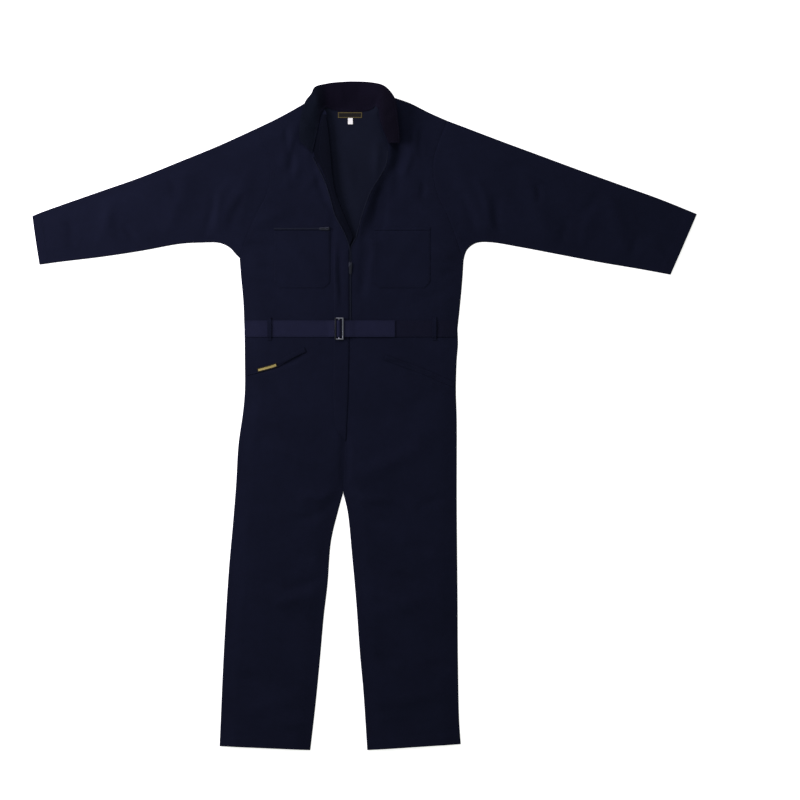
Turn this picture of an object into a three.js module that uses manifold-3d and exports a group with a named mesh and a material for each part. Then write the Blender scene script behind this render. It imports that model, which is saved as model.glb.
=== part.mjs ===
// A boiler suit laid out on its back on a flat surface, front up, zip open to the chest.
// Millimetres. X runs to the wearer's left, Y to the collar and Z up from the surface. The numbers
// are measured from the centre front, level with the middle of the suit's length.
import * as THREE from 'three';
import Module from 'manifold-3d';
import { mergeVertices } from 'three/addons/utils/BufferGeometryUtils.js';

// Cloth and clearances
const CLOTH = 1.5;
const COLLAR_CLOTH = 2.0;
const GAP = 0.3;
const SEAM = GAP / 2;
const LAID_GAP = 0.5;
const LOFT = 3.0;
const LOFT_REACH = 45;

// How many steps each edge is cut into; pieces that share an edge share its steps
const SIDE_STEPS = 5;
const ARMHOLE_STEPS = 12;
const SHOULDER_STEPS = 11;
const NECK_EDGE_STEPS = 12;
const BACK_NECK_STEPS = 12;
const LEG_STEPS = 16;
const RISE_STEPS = 7;
const LEG_ACROSS = 9;
const SLEEVE_STATIONS = 16;
const CHAIN_STEPS = 8;

// Edges of the suit's right half (the wearer's right), columns x, y
const SIDE_RIGHT = [[-269, 218], [-272, 290], [-278, 355], [-281, 395]];
const ARMHOLE_RIGHT = [
  [-281, 395], [-262, 450], [-240, 502], [-215, 550], [-204, 595], [-205, 640], [-220, 680], [-240, 718],
];
const SHOULDER_RIGHT = [[-240, 718], [-192, 741], [-142, 768], [-108, 788]];
const FOLD_EDGE_RIGHT = [
  [-108, 788], [-68, 765], [-60, 715], [-55, 665], [-48, 590], [-40, 552], [-28, 520], [3, 445],
];
const OVERARM_RIGHT = [
  [-240, 718], [-330, 677], [-430, 636], [-530, 596], [-630, 561], [-730, 526], [-772, 511], [-799, 500],
];
const UNDERARM_RIGHT = [
  [-281, 395], [-291, 405], [-305, 420], [-330, 432], [-380, 433], [-430, 430], [-530, 412], [-630, 397],
  [-730, 385], [-781, 378],
];
const LEG_OUTER_RIGHT = [
  [-269, 218], [-268, 140], [-268, 65], [-272, 15], [-284, -72], [-290, -172], [-298, -272], [-308, -385],
  [-321, -598], [-331, -825],
];
const LEG_INNER_RIGHT = [
  [-22, -192], [-35, -240], [-52, -312], [-61, -422], [-70, -498], [-80, -610], [-91, -722], [-104, -835],
];

// Edges of the suit's left half, columns x, y
const SIDE_LEFT = [[264, 218], [270, 275], [276, 340], [279, 388]];
const ARMHOLE_LEFT = [
  [279, 388], [260, 445], [238, 502], [215, 550], [204, 595], [205, 645], [220, 692], [238, 738],
];
const SHOULDER_LEFT = [[238, 738], [195, 757], [145, 782], [120, 791], [105, 796]];
const FRONT_EDGE_LEFT = [
  [105, 796], [71, 786], [68, 740], [80, 702], [90, 678], [88, 628], [73, 598], [50, 560], [25, 492],
  [13, 445],
];
const OVERARM_LEFT = [
  [238, 738], [270, 726], [370, 688], [470, 651], [570, 614], [670, 578], [770, 542], [862, 505],
];
const UNDERARM_LEFT = [
  [279, 388], [283, 405], [290, 418], [310, 432], [345, 434], [420, 422], [520, 403], [620, 384], [720, 367],
  [796, 353],
];
const LEG_OUTER_LEFT = [
  [264, 218], [265, 178], [262, 140], [260, 65], [262, -10], [262, -210], [264, -460], [265, -610],
  [268, -760], [272, -820],
];
const LEG_INNER_LEFT = [
  [-22, -192], [-11, -240], [0, -348], [10, -460], [20, -598], [28, -685], [38, -835],
];

// Centre line, neck and waist
const WAIST_Y = 218;
const CENTRE_SEAM = [[-6, 218], [-9, 115], [-14, -10], [-19, -110], [-22, -192]];
const BACK_NECKLINE = [[-108, 788], [-85, 773], [-42, 764], [0, 762], [40, 764], [78, 776], [105, 796]];
const TIP_Y = 445;
const TIP_DROP = 22;
const CLOSED_EDGE_RIGHT_X = -8;
const CLOSED_EDGE_LEFT_X = 0;

// The largest folds of the front: a soft ridge from one end to the other, columns as named
const FOLD_COLUMNS = ['x0', 'y0', 'x1', 'y1', 'width', 'height'];
const FOLDS = [
  [-138, 735, -176, 610, 15, 5.0],
  [-125, 640, -172, 560, 14, 3.5],
  [-262, 470, -150, 520, 18, 3.5],
  [-330, 450, -240, 640, 24, 4.0],
  [-470, 440, -400, 620, 24, 3.5],
  [-640, 410, -590, 560, 20, 3.0],
  [150, 745, 178, 620, 16, 4.5],
  [262, 470, 150, 530, 18, 3.5],
  [330, 450, 250, 650, 24, 4.0],
  [500, 425, 420, 640, 24, 3.5],
  [690, 385, 640, 570, 20, 3.0],
  [-40, -150, -220, -60, 22, 4.0],
  [-10, -160, 200, -70, 22, 4.0],
  [-80, -480, -280, -430, 26, 3.5],
  [20, -500, 240, -440, 26, 3.5],
  [-100, -700, -290, -740, 22, 2.5],
  [50, -720, 250, -690, 22, 2.5],
].map((row) => Object.fromEntries(FOLD_COLUMNS.map((column, k) => [column, row[k]])));

// The open front edges stand up off the back: height above the laid cloth, and how far that reaches
const LIFT_RIGHT = { height: 7, reach: 24 };
const LIFT_LEFT = { height: 12, reach: 30 };
const LIFT_FADE = 120;
const OPENING_MIDDLE_X = 20;

// A sleeve bends from its armhole's curve to a straight section over this share of its length
const SLEEVE_HEAD = { reach: 0.45, power: 1.6, rim: 3.2 };

// Turned-back facing of the right front, its outer edge from the neck down, columns x, y
const FACING_OUTER = [
  [-74, 752], [-82, 715], [-95, 655], [-75, 615], [-65, 590], [-52, 545], [-40, 502], [-20, 465], [-8, 438],
];
const FACING_INNER = [
  [-66, 752], [-60, 715], [-55, 665], [-48, 590], [-40, 552], [-28, 520], [-12, 482], [2, 448],
];
const FACING_STEPS = 18;
const FACING_ACROSS = 3;

// Collar, one row for each station from its right front end round the back of the neck. The seam is
// this high over the front's cloth where onFront is 1, and over the surface where it is 0.
const COLLAR_COLUMNS = ['onFront', 'seamX', 'seamY', 'seamZ', 'freeX', 'freeY', 'freeZ', 'bulge'];
const COLLAR = [
  [1, -99, 657, 1.6, -131, 686, 12, 2.5],
  [1, -93.5, 681, 1.6, -131, 707, 14, 3.0],
  [1, -88, 706, 1.6, -129, 732, 17, 3.5],
  [1, -82.5, 731, 2.0, -124, 761, 21, 4.0],
  [1, -77, 755, 3.0, -115, 785, 26, 5.0],
  [0, -64, 772.5, 10, -101, 802, 32, 6.0],
  [0, -50, 768.5, 4, -92, 819, 30, 5.0],
  [0, -34, 764.9, 1.4, -62, 829, 20, 3.5],
  [0, -14, 762.9, 1.2, -24, 834, 13, 2.5],
  [0, 8, 762.9, 1.2, 14, 835, 12, 2.5],
  [0, 32, 764.5, 1.4, 50, 832, 17, 3.5],
  [0, 49, 769, 4.5, 78, 824, 27, 5.0],
  [0, 59, 776, 11, 96, 808, 34, 6.0],
  [1, 67, 762, 1.8, 108, 788, 37, 6.0],
  [1, 70, 738, 1.8, 113, 760, 36, 5.0],
  [1, 77, 717, 1.8, 116, 730, 35, 4.0],
  [1, 85, 697, 1.8, 119, 700, 33, 3.5],
  [1, 91, 681, 1.8, 119, 679, 31, 3.0],
].map((row) => Object.fromEntries(COLLAR_COLUMNS.map((column, k) => [column, row[k]])));
const COLLAR_ACROSS = 5;

// Zip
const TAPE_WIDTH = 3.3;
const TAPE_THICKNESS = 1.4;
const CHAIN_WIDTH = 7.2;
const SLIDER_Y = 378;
const SLIDER_HOLD = 3;
const TAPE_STEPS = 20;
const TAPE_RIGHT = [
  [-98.5, 646], [-80, 612], [-68.8, 588], [-54.5, 544.2], [-42.4, 501], [-22.1, 463.5], [-10.5, 436],
  [-6.2, 420], [-6.2, 381],
];
const TAPE_DROP = { high: 424, low: 412 };
const TAPE_LEFT_FIRST = 5;
const SLIDER = {
  length: 11, width: 8, plate: 1.2, lowerPlate: 1, post: 2.4,
  archWidth: 2, archLength: 8, archWall: 1, archRoom: 2.6,
};
const PULL = { width: 6.5, thickness: 1.4, barRadius: 0.9, eyeLength: 5.2, eyeWidth: 3, droop: 3 };
const MAIN_PULL_LENGTH = 24;
const POCKET_PULL_LENGTH = 20;

// Placket over the closed zip and the fly, columns x, y from its top to its lower end
const PLACKET_OUTER = [[-46, 416], [-46, 150], [-46, 20], [-40, -30], [-18, -62]];
const PLACKET_INNER = [[-8.5, 416], [-8.5, 150], [-12, 20], [-14, -20], [-15.5, -58]];
const PLACKET_STEPS = 14;
const PLACKET_ACROSS = 3;

// Chest pockets
const POCKET = { inner: 55, outer: 195, low: 320, high: 463, corner: 14 };
const POCKET_ACROSS = 8;
const ZIP_ACROSS = 14;
const POCKET_ZIP = { low: 464, high: 471, thickness: 1.2, sliderX: -62 };

// Side pocket openings, columns x, y from the inner end out to the side seam
const SIDE_POCKET_RIGHT = [[-114, 160], [-150, 143], [-186, 122], [-238, 107], [-262, 101]];
const SIDE_POCKET_LEFT = [[80, 140], [130, 122], [180, 104], [220, 86], [254, 72]];
const WELT = { width: 13, thickness: 1.5, steps: 16 };
const TAB = { width: 10, thickness: 0.9, inset: 1.5, steps: 40, first: 20, last: 33 };

// Belt and its buckle. The right strap threads the buckle by a table: the distance from the buckle's
// middle, and how far the strap has risen from under the side bars (0) to over the centre bar (1).
const BELT = { width: 41, thickness: 1.5, tail: 140, endRight: -266.5, endLeft: 261.5 };
const BUCKLE = { x: -32, length: 55, width: 21.5, bar: 3, centreBar: 2, z: 13.9 };
const HOOK = { from: -90, to: -300, steps: 8 };
const THREAD_COLUMNS = ['x', 'rise'];
const THREADING = [
  [-12.2, 0], [-7.1, 0], [-4.4, 0.5], [-2.2, 0.92], [0.4, 1], [2.6, 0.86], [4.6, 0.5], [7.2, 0], [11.9, 0],
].map((row) => Object.fromEntries(THREAD_COLUMNS.map((column, k) => [column, row[k]])));
const TAIL_GAP = 0.5;
const OVER_PLACKET = { from: -64, up: -50, down: -5, to: 9 };
const LOOP = { x: 206, width: 10, height: 58, thickness: 1.2, foot: 3.2, bend: 1.4, turn: 0.8, slack: 0.3 };

// Labels at the back of the neck
const LABEL = { x0: -35, x1: 25, y0: 745, y1: 759, thickness: 0.8 };
const SIZE_TAB = { x0: -10, x1: 2, y0: 729, y1: 744.7, thickness: 0.8 };

// Colours
const NAVY = { color: 0x14182b, roughness: 0.9, metalness: 0 };
const NAVY_INSIDE = { color: 0x171a2a, roughness: 0.92, metalness: 0 };
const TAPE_NAVY = { color: 0x1b2036, roughness: 0.7, metalness: 0 };
const STEEL = { color: 0xb9bcc2, roughness: 0.32, metalness: 1 };
const GOLD = { color: 0xb08a34, roughness: 0.6, metalness: 0 };
const LABEL_BLACK = { color: 0x15130f, roughness: 0.7, metalness: 0 };
const WHITE = { color: 0xe4e2dc, roughness: 0.8, metalness: 0 };

const wasm = await Module();
wasm.setup();

const suit = new THREE.Group();

function addPiece(name, geometry, finish, parent = suit) {
  const mesh = new THREE.Mesh(geometry, new THREE.MeshStandardMaterial(finish));
  mesh.name = name;
  parent.add(mesh);
  return mesh;
}

// Flat outlines

function cut(points, steps) {
  const spots = points.map(([x, y]) => new THREE.Vector3(x, y, 0));
  const curve = new THREE.CatmullRomCurve3(spots, false, 'centripetal');
  return curve.getSpacedPoints(steps).map((p) => [p.x, p.y]);
}

function straight(from, to, steps) {
  const at = (k, c) => from[c] + (to[c] - from[c]) * (k / steps);
  return Array.from({ length: steps + 1 }, (_, k) => [at(k, 0), at(k, 1)]);
}

function reversed(line) {
  return [...line].reverse();
}

function joined(...lines) {
  return lines.flatMap((line, k) => (k === 0 ? line : line.slice(1)));
}

function nearest(line, x, y) {
  let best = { distance: Infinity, share: 0 };
  for (let k = 1; k < line.length; k += 1) {
    const [ax, ay] = line[k - 1];
    const [bx, by] = line[k];
    const [dx, dy] = [bx - ax, by - ay];
    const along = Math.min(1, Math.max(0, ((x - ax) * dx + (y - ay) * dy) / (dx * dx + dy * dy)));
    const distance = Math.hypot(x - ax - along * dx, y - ay - along * dy);
    if (distance < best.distance) best = { distance, share: (k - 1 + along) / (line.length - 1) };
  }
  return best;
}

// Shared edges
const sideRight = cut(SIDE_RIGHT, SIDE_STEPS);
const sideLeft = cut(SIDE_LEFT, SIDE_STEPS);
const armholeRight = cut(ARMHOLE_RIGHT, ARMHOLE_STEPS);
const armholeLeft = cut(ARMHOLE_LEFT, ARMHOLE_STEPS);
const shoulderRight = cut(SHOULDER_RIGHT, SHOULDER_STEPS);
const shoulderLeft = cut(SHOULDER_LEFT, SHOULDER_STEPS);
const overarmRight = cut(OVERARM_RIGHT, SLEEVE_STATIONS);
const overarmLeft = cut(OVERARM_LEFT, SLEEVE_STATIONS);
const underarmRight = cut(UNDERARM_RIGHT, SLEEVE_STATIONS);
const underarmLeft = cut(UNDERARM_LEFT, SLEEVE_STATIONS);
const legOuterRight = cut(LEG_OUTER_RIGHT, LEG_STEPS + RISE_STEPS);
const legOuterLeft = cut(LEG_OUTER_LEFT, LEG_STEPS + RISE_STEPS);
const legInnerRight = cut(LEG_INNER_RIGHT, LEG_STEPS);
const legInnerLeft = cut(LEG_INNER_LEFT, LEG_STEPS);
const centreSeam = cut(CENTRE_SEAM, RISE_STEPS);
const backNeckline = cut(BACK_NECKLINE, BACK_NECK_STEPS);
const foldEdge = cut(FOLD_EDGE_RIGHT, NECK_EDGE_STEPS);
const frontEdgeLeft = cut(FRONT_EDGE_LEFT, NECK_EDGE_STEPS);

// Height of the top cloth over the surface, the same rule for every piece of the front

const joinedEdges = [
  sideRight, sideLeft, shoulderRight, shoulderLeft, overarmRight, overarmLeft, underarmRight, underarmLeft,
  legOuterRight, legOuterLeft, legInnerRight, legInnerLeft,
];
const EDGE_HEIGHT = 2 * CLOTH + GAP;

function edgeShare(x, y) {
  const distance = Math.min(...joinedEdges.map((edge) => nearest(edge, x, y).distance));
  return THREE.MathUtils.smoothstep(distance, 0, LOFT_REACH);
}

function bell(distance, width) {
  return Math.exp(-((distance / width) ** 2));
}

function foldHeight(fold, x, y) {
  const { distance, share } = nearest([[fold.x0, fold.y0], [fold.x1, fold.y1]], x, y);
  return fold.height * bell(distance, fold.width) * Math.sin(Math.PI * share);
}

function liftHeight(lift, edge, x, y) {
  const { distance } = nearest(edge, x, y);
  const fade = THREE.MathUtils.smoothstep(y, TIP_Y, TIP_Y + LIFT_FADE);
  return lift.height * bell(distance, lift.reach) * fade;
}

function frontTop(x, y) {
  let raised = LOFT;
  for (const fold of FOLDS) raised += foldHeight(fold, x, y);
  if (x < OPENING_MIDDLE_X) raised += liftHeight(LIFT_RIGHT, foldEdge, x, y);
  else raised += liftHeight(LIFT_LEFT, frontEdgeLeft, x, y);
  return EDGE_HEIGHT + raised * edgeShare(x, y);
}

// Solids

function solid(positions, triangles) {
  let volume = 0;
  const [a, b, c] = [new THREE.Vector3(), new THREE.Vector3(), new THREE.Vector3()];
  for (const [i, j, k] of triangles) {
    volume += a.copy(positions[i]).dot(b.copy(positions[j]).cross(c.copy(positions[k])));
  }
  const facing = volume < 0 ? triangles.map(([i, j, k]) => [i, k, j]) : triangles;
  const geometry = new THREE.BufferGeometry();
  const numbers = positions.flatMap((p) => p.toArray());
  geometry.setAttribute('position', new THREE.Float32BufferAttribute(numbers, 3));
  geometry.setIndex(facing.flat());
  geometry.computeVertexNormals();
  return geometry;
}

// A wall between two grids of points, closed round its rim
function wall(lower, upper) {
  const rows = lower.length;
  const across = lower[0].length;
  const size = rows * across;
  const at = (j, i, top) => j * across + i + (top ? size : 0);
  const triangles = [];
  const quad = (p, q, r, s) => triangles.push([p, q, r], [p, r, s]);
  const high = rows - 1;
  const end = across - 1;
  for (let j = 0; j + 1 < rows; j += 1) {
    for (let i = 0; i + 1 < across; i += 1) {
      quad(at(j, i, true), at(j, i + 1, true), at(j + 1, i + 1, true), at(j + 1, i, true));
      quad(at(j, i, false), at(j + 1, i, false), at(j + 1, i + 1, false), at(j, i + 1, false));
    }
  }
  for (let i = 0; i + 1 < across; i += 1) {
    quad(at(0, i, false), at(0, i + 1, false), at(0, i + 1, true), at(0, i, true));
    quad(at(high, i + 1, false), at(high, i, false), at(high, i, true), at(high, i + 1, true));
  }
  for (let j = 0; j + 1 < rows; j += 1) {
    quad(at(j + 1, 0, false), at(j, 0, false), at(j, 0, true), at(j + 1, 0, true));
    quad(at(j, end, false), at(j + 1, end, false), at(j + 1, end, true), at(j, end, true));
  }
  return solid([...lower.flat(), ...upper.flat()], triangles);
}

// A tube with a wall, between rings of outer and inner points
function tube(outer, inner) {
  const around = outer[0].length;
  const rings = outer.length;
  const size = rings * around;
  const at = (j, i, inside) => j * around + (i % around) + (inside ? size : 0);
  const triangles = [];
  const quad = (p, q, r, s) => triangles.push([p, q, r], [p, r, s]);
  const last = rings - 1;
  for (let i = 0; i < around; i += 1) {
    for (let j = 0; j + 1 < rings; j += 1) {
      quad(at(j, i, false), at(j, i + 1, false), at(j + 1, i + 1, false), at(j + 1, i, false));
      quad(at(j, i, true), at(j + 1, i, true), at(j + 1, i + 1, true), at(j, i + 1, true));
    }
    quad(at(0, i, true), at(0, i + 1, true), at(0, i + 1, false), at(0, i, false));
    quad(at(last, i, false), at(last, i + 1, false), at(last, i + 1, true), at(last, i, true));
  }
  return solid([...outer.flat(), ...inner.flat()], triangles);
}

// The grid of points inside four edges, rows from the low edge to the high one
function patch(low, high, start, end) {
  const across = low.length - 1;
  const rows = start.length - 1;
  return start.map((_, j) => low.map((__, i) => {
    const u = i / across;
    const t = j / rows;
    return [0, 1].map((c) => (1 - t) * low[i][c] + t * high[i][c] + (1 - u) * start[j][c] + u * end[j][c]
      - (1 - u) * (1 - t) * low[0][c] - u * (1 - t) * low[across][c]
      - (1 - u) * t * high[0][c] - u * t * high[across][c]);
  }));
}

// An outline moved in by the seam's half gap
function shrunk(outline, by) {
  const count = outline.length;
  let area = 0;
  outline.forEach(([x, y], k) => {
    const [nx, ny] = outline[(k + 1) % count];
    area += x * ny - nx * y;
  });
  const turn = Math.sign(area);
  return outline.map(([x, y], k) => {
    const before = outline[(k + count - 1) % count];
    const after = outline[(k + 1) % count];
    const first = new THREE.Vector2(x - before[0], y - before[1]).normalize();
    const second = new THREE.Vector2(after[0] - x, after[1] - y).normalize();
    const normal = new THREE.Vector2(-(first.y + second.y), first.x + second.x).normalize();
    const spread = Math.max(0.5, normal.dot(new THREE.Vector2(-first.y, first.x)));
    return [x + (turn * by * normal.x) / spread, y + (turn * by * normal.y) / spread];
  });
}

// The same for a grid: its rim moves in and the rest stays
function shrunkGrid(grid, by) {
  const rows = grid.length - 1;
  const across = grid[0].length - 1;
  const rim = [];
  for (let i = 0; i < across; i += 1) rim.push([0, i]);
  for (let j = 0; j < rows; j += 1) rim.push([j, across]);
  for (let i = across; i > 0; i -= 1) rim.push([rows, i]);
  for (let j = rows; j > 0; j -= 1) rim.push([j, 0]);
  const moved = shrunk(rim.map(([j, i]) => grid[j][i]), by);
  const result = grid.map((row) => row.map((point) => [...point]));
  rim.forEach(([j, i], k) => {
    result[j][i] = moved[k];
  });
  return result;
}

// Cloth that follows the top cloth, its underside this far above it
function clothOver(grid, above, thickness) {
  const aboveAt = typeof above === 'function' ? above : () => above;
  const lift = (extra) => grid.map((row) => row.map(
    ([x, y]) => new THREE.Vector3(x, y, frontTop(x, y) + aboveAt(y) + extra),
  ));
  return wall(lift(0), lift(thickness));
}

function topCloth(grid) {
  return clothOver(shrunkGrid(grid, SEAM), -CLOTH, CLOTH);
}

function slab(outline, low, high) {
  const shape = new THREE.Shape(outline.map(([x, y]) => new THREE.Vector2(x, y)));
  const geometry = new THREE.ExtrudeGeometry(shape, { depth: high - low, bevelEnabled: false });
  geometry.translate(0, 0, low);
  return geometry;
}

function backCloth(outline) {
  return slab(shrunk(outline, SEAM), 0, CLOTH);
}

// A strip beside a line, between two distances from it
function strip(line, near, far) {
  const side = (distance) => line.map(([x, y], k) => {
    const before = line[Math.max(0, k - 1)];
    const after = line[Math.min(line.length - 1, k + 1)];
    const along = new THREE.Vector2(after[0] - before[0], after[1] - before[1]).normalize();
    return [x - along.y * distance, y + along.x * distance];
  });
  const [a, b] = [side(near), side(far)];
  return a.map((point, k) => [point, b[k]]);
}

// A strap's side view with even thickness, from the line through its middle
function strapOutline(line, thickness) {
  const offset = (sign) => line.map(([x, z], k) => {
    const before = line[Math.max(0, k - 1)];
    const after = line[Math.min(line.length - 1, k + 1)];
    const along = new THREE.Vector2(after[0] - before[0], after[1] - before[1]).normalize();
    return new THREE.Vector2(x - (sign * along.y * thickness) / 2, z + (sign * along.x * thickness) / 2);
  });
  return [...offset(1), ...offset(-1).reverse()];
}

// A strap seen from the side in X and Z, as wide as given along Y
function strapAlongX(line, thickness, middleY, width) {
  const geometry = new THREE.ExtrudeGeometry(new THREE.Shape(strapOutline(line, thickness)), {
    depth: width, bevelEnabled: false,
  });
  geometry.rotateX(Math.PI / 2);
  geometry.translate(0, middleY + width / 2, 0);
  return geometry;
}

function strapAlongY(line, thickness, middleX, width) {
  const geometry = new THREE.ExtrudeGeometry(new THREE.Shape(strapOutline(line, thickness)), {
    depth: width, bevelEnabled: false,
  });
  geometry.rotateX(Math.PI / 2);
  geometry.rotateZ(Math.PI / 2);
  geometry.translate(middleX - width / 2, 0, 0);
  return geometry;
}

function manifoldOf(geometry) {
  const bare = geometry.clone();
  bare.deleteAttribute('normal');
  bare.deleteAttribute('uv');
  const merged = mergeVertices(bare, 1e-4);
  return new wasm.Manifold(new wasm.Mesh({
    numProp: 3,
    vertProperties: new Float32Array(merged.attributes.position.array),
    triVerts: new Uint32Array(merged.index.array),
  }));
}

function geometryOf(manifold) {
  const mesh = manifold.getMesh();
  const geometry = new THREE.BufferGeometry();
  geometry.setAttribute('position', new THREE.BufferAttribute(new Float32Array(mesh.vertProperties), 3));
  geometry.setIndex(new THREE.BufferAttribute(new Uint32Array(mesh.triVerts), 1));
  geometry.computeVertexNormals();
  return geometry;
}

function block(width, length, height, x, y, z) {
  const geometry = new THREE.BoxGeometry(width, length, height);
  geometry.translate(x, y, z);
  return geometry;
}

function united(...geometries) {
  return geometryOf(geometries.map(manifoldOf).reduce((all, one) => all.add(one)));
}

// Bodice

function frontGrid(side, armhole, shoulder, edge, closedX) {
  const start = joined(side, armhole);
  const closedTop = edge.at(-1)[1] - TIP_DROP;
  const closed = straight([closedX, WAIST_Y], [closedX, closedTop], start.length - edge.length - 1);
  const bottom = straight(side[0], [closedX, WAIST_Y], SHOULDER_STEPS);
  return patch(bottom, shoulder, start, [...closed, ...reversed(edge)]);
}

function buildBodice() {
  const right = frontGrid(sideRight, armholeRight, shoulderRight, foldEdge, CLOSED_EDGE_RIGHT_X);
  const left = frontGrid(sideLeft, armholeLeft, shoulderLeft, frontEdgeLeft, CLOSED_EDGE_LEFT_X);
  addPiece('front_bodice_wearer_right', topCloth(right), NAVY);
  addPiece('front_bodice_wearer_left', topCloth(left), NAVY);
  const back = joined(
    straight([sideLeft[0][0], WAIST_Y], [sideRight[0][0], WAIST_Y], 1),
    sideRight, armholeRight, shoulderRight, backNeckline,
    reversed(shoulderLeft), reversed(armholeLeft), reversed(sideLeft),
  ).slice(0, -1);
  addPiece('back_bodice', backCloth(back), NAVY_INSIDE);
}

// Sleeves

function buildSleeve(name, armhole, overarm, underarm) {
  const head = reversed(armhole);
  const depth = Math.hypot(head[0][0] - head[ARMHOLE_STEPS][0], head[0][1] - head[ARMHOLE_STEPS][1]);
  const rim = SLEEVE_HEAD.rim / depth;
  const even = Array.from({ length: ARMHOLE_STEPS - 1 }, (_, k) => (k + 1) / ARMHOLE_STEPS);
  const shares = [0, rim, ...even, 1 - rim, 1];
  const onHead = (share) => {
    const k = Math.min(ARMHOLE_STEPS - 1, Math.floor(share * ARMHOLE_STEPS));
    const part = share * ARMHOLE_STEPS - k;
    return [0, 1].map((c) => head[k][c] + (head[k + 1][c] - head[k][c]) * part);
  };
  const chord = (a, b, share) => [0, 1].map((c) => a[c] + (b[c] - a[c]) * share);
  const outward = Math.sign(overarm[SLEEVE_STATIONS][0]);
  const outer = [];
  const inner = [];
  for (let station = 0; station <= SLEEVE_STATIONS; station += 1) {
    const fade = Math.max(0, 1 - station / (SLEEVE_STATIONS * SLEEVE_HEAD.reach)) ** SLEEVE_HEAD.power;
    const row = shares.map((share) => {
      const base = chord(overarm[station], underarm[station], share);
      const plain = chord(head[0], head[ARMHOLE_STEPS], share);
      const seam = onHead(share);
      const shift = station === 0 ? outward * SEAM : 0;
      return [base[0] + fade * (seam[0] - plain[0]) + shift, base[1] + fade * (seam[1] - plain[1])];
    });
    const last = row.length - 1;
    const height = row.map(([x, y]) => frontTop(x, y));
    const inset = (k) => {
      if (k > 0 && k < last) return row[k];
      const [from, to] = k === 0 ? [row[0], row[1]] : [row[last], row[last - 1]];
      const away = new THREE.Vector2(to[0] - from[0], to[1] - from[1]).setLength(CLOTH);
      return [from[0] + away.x, from[1] + away.y];
    };
    const point = ([x, y], z) => new THREE.Vector3(x, y, z);
    const middle = EDGE_HEIGHT / 2;
    const over = row.map((p, k) => point(p, k === 0 || k === last ? middle : height[k]));
    const under = row.slice(1, last).map((p) => point(p, 0)).reverse();
    outer.push([...over, ...under]);
    const overInside = row.map((p, k) => point(inset(k), k === 0 || k === last ? middle : height[k] - CLOTH));
    const underInside = row.slice(1, last).map((p) => point(p, CLOTH)).reverse();
    inner.push([...overInside, ...underInside]);
  }
  addPiece(name, tube(outer, inner), NAVY);
}

// Trousers

function buildTrousers() {
  const halves = [
    ['wearer_right', legOuterRight, legInnerRight],
    ['wearer_left', legOuterLeft, legInnerLeft],
  ];
  for (const [side, outerEdge, innerEdge] of halves) {
    const start = reversed(outerEdge);
    const end = joined(reversed(innerEdge), reversed(centreSeam));
    const hem = straight(start[0], end[0], LEG_ACROSS);
    const waist = straight(start.at(-1), end.at(-1), LEG_ACROSS);
    addPiece(`trouser_front_${side}`, topCloth(patch(hem, waist, start, end)), NAVY);
    const outline = [...end, ...reversed(start)];
    addPiece(`trouser_back_${side}`, backCloth(outline), NAVY_INSIDE);
  }
}

// Collar: a band from the neckline out to its free edge, crowned between the two

function buildCollar() {
  const middle = COLLAR.map((row) => Array.from({ length: COLLAR_ACROSS + 1 }, (_, k) => {
    const share = k / COLLAR_ACROSS;
    const seamZ = row.seamZ + row.onFront * frontTop(row.seamX, row.seamY);
    const x = row.seamX + (row.freeX - row.seamX) * share;
    const y = row.seamY + (row.freeY - row.seamY) * share;
    const z = seamZ + (row.freeZ - seamZ) * share + row.bulge * Math.sin(Math.PI * share);
    return new THREE.Vector3(x, y, row.onFront ? Math.max(z, frontTop(x, y) + LAID_GAP + COLLAR_CLOTH) : z);
  }));
  const rows = middle.length - 1;
  const side = (sign) => middle.map((row, j) => row.map((point, i) => {
    const across = row[Math.min(COLLAR_ACROSS, i + 1)].clone().sub(row[Math.max(0, i - 1)]);
    const along = middle[Math.min(rows, j + 1)][i].clone().sub(middle[Math.max(0, j - 1)][i]);
    const normal = across.cross(along).normalize();
    const moved = point.clone().addScaledVector(normal, (sign * COLLAR_CLOTH) / 2);
    moved.z = Math.max(moved.z, 0);
    return moved;
  }));
  addPiece('collar', wall(side(-1), side(1)), NAVY_INSIDE);
}

// Facing, placket and zip

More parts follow.
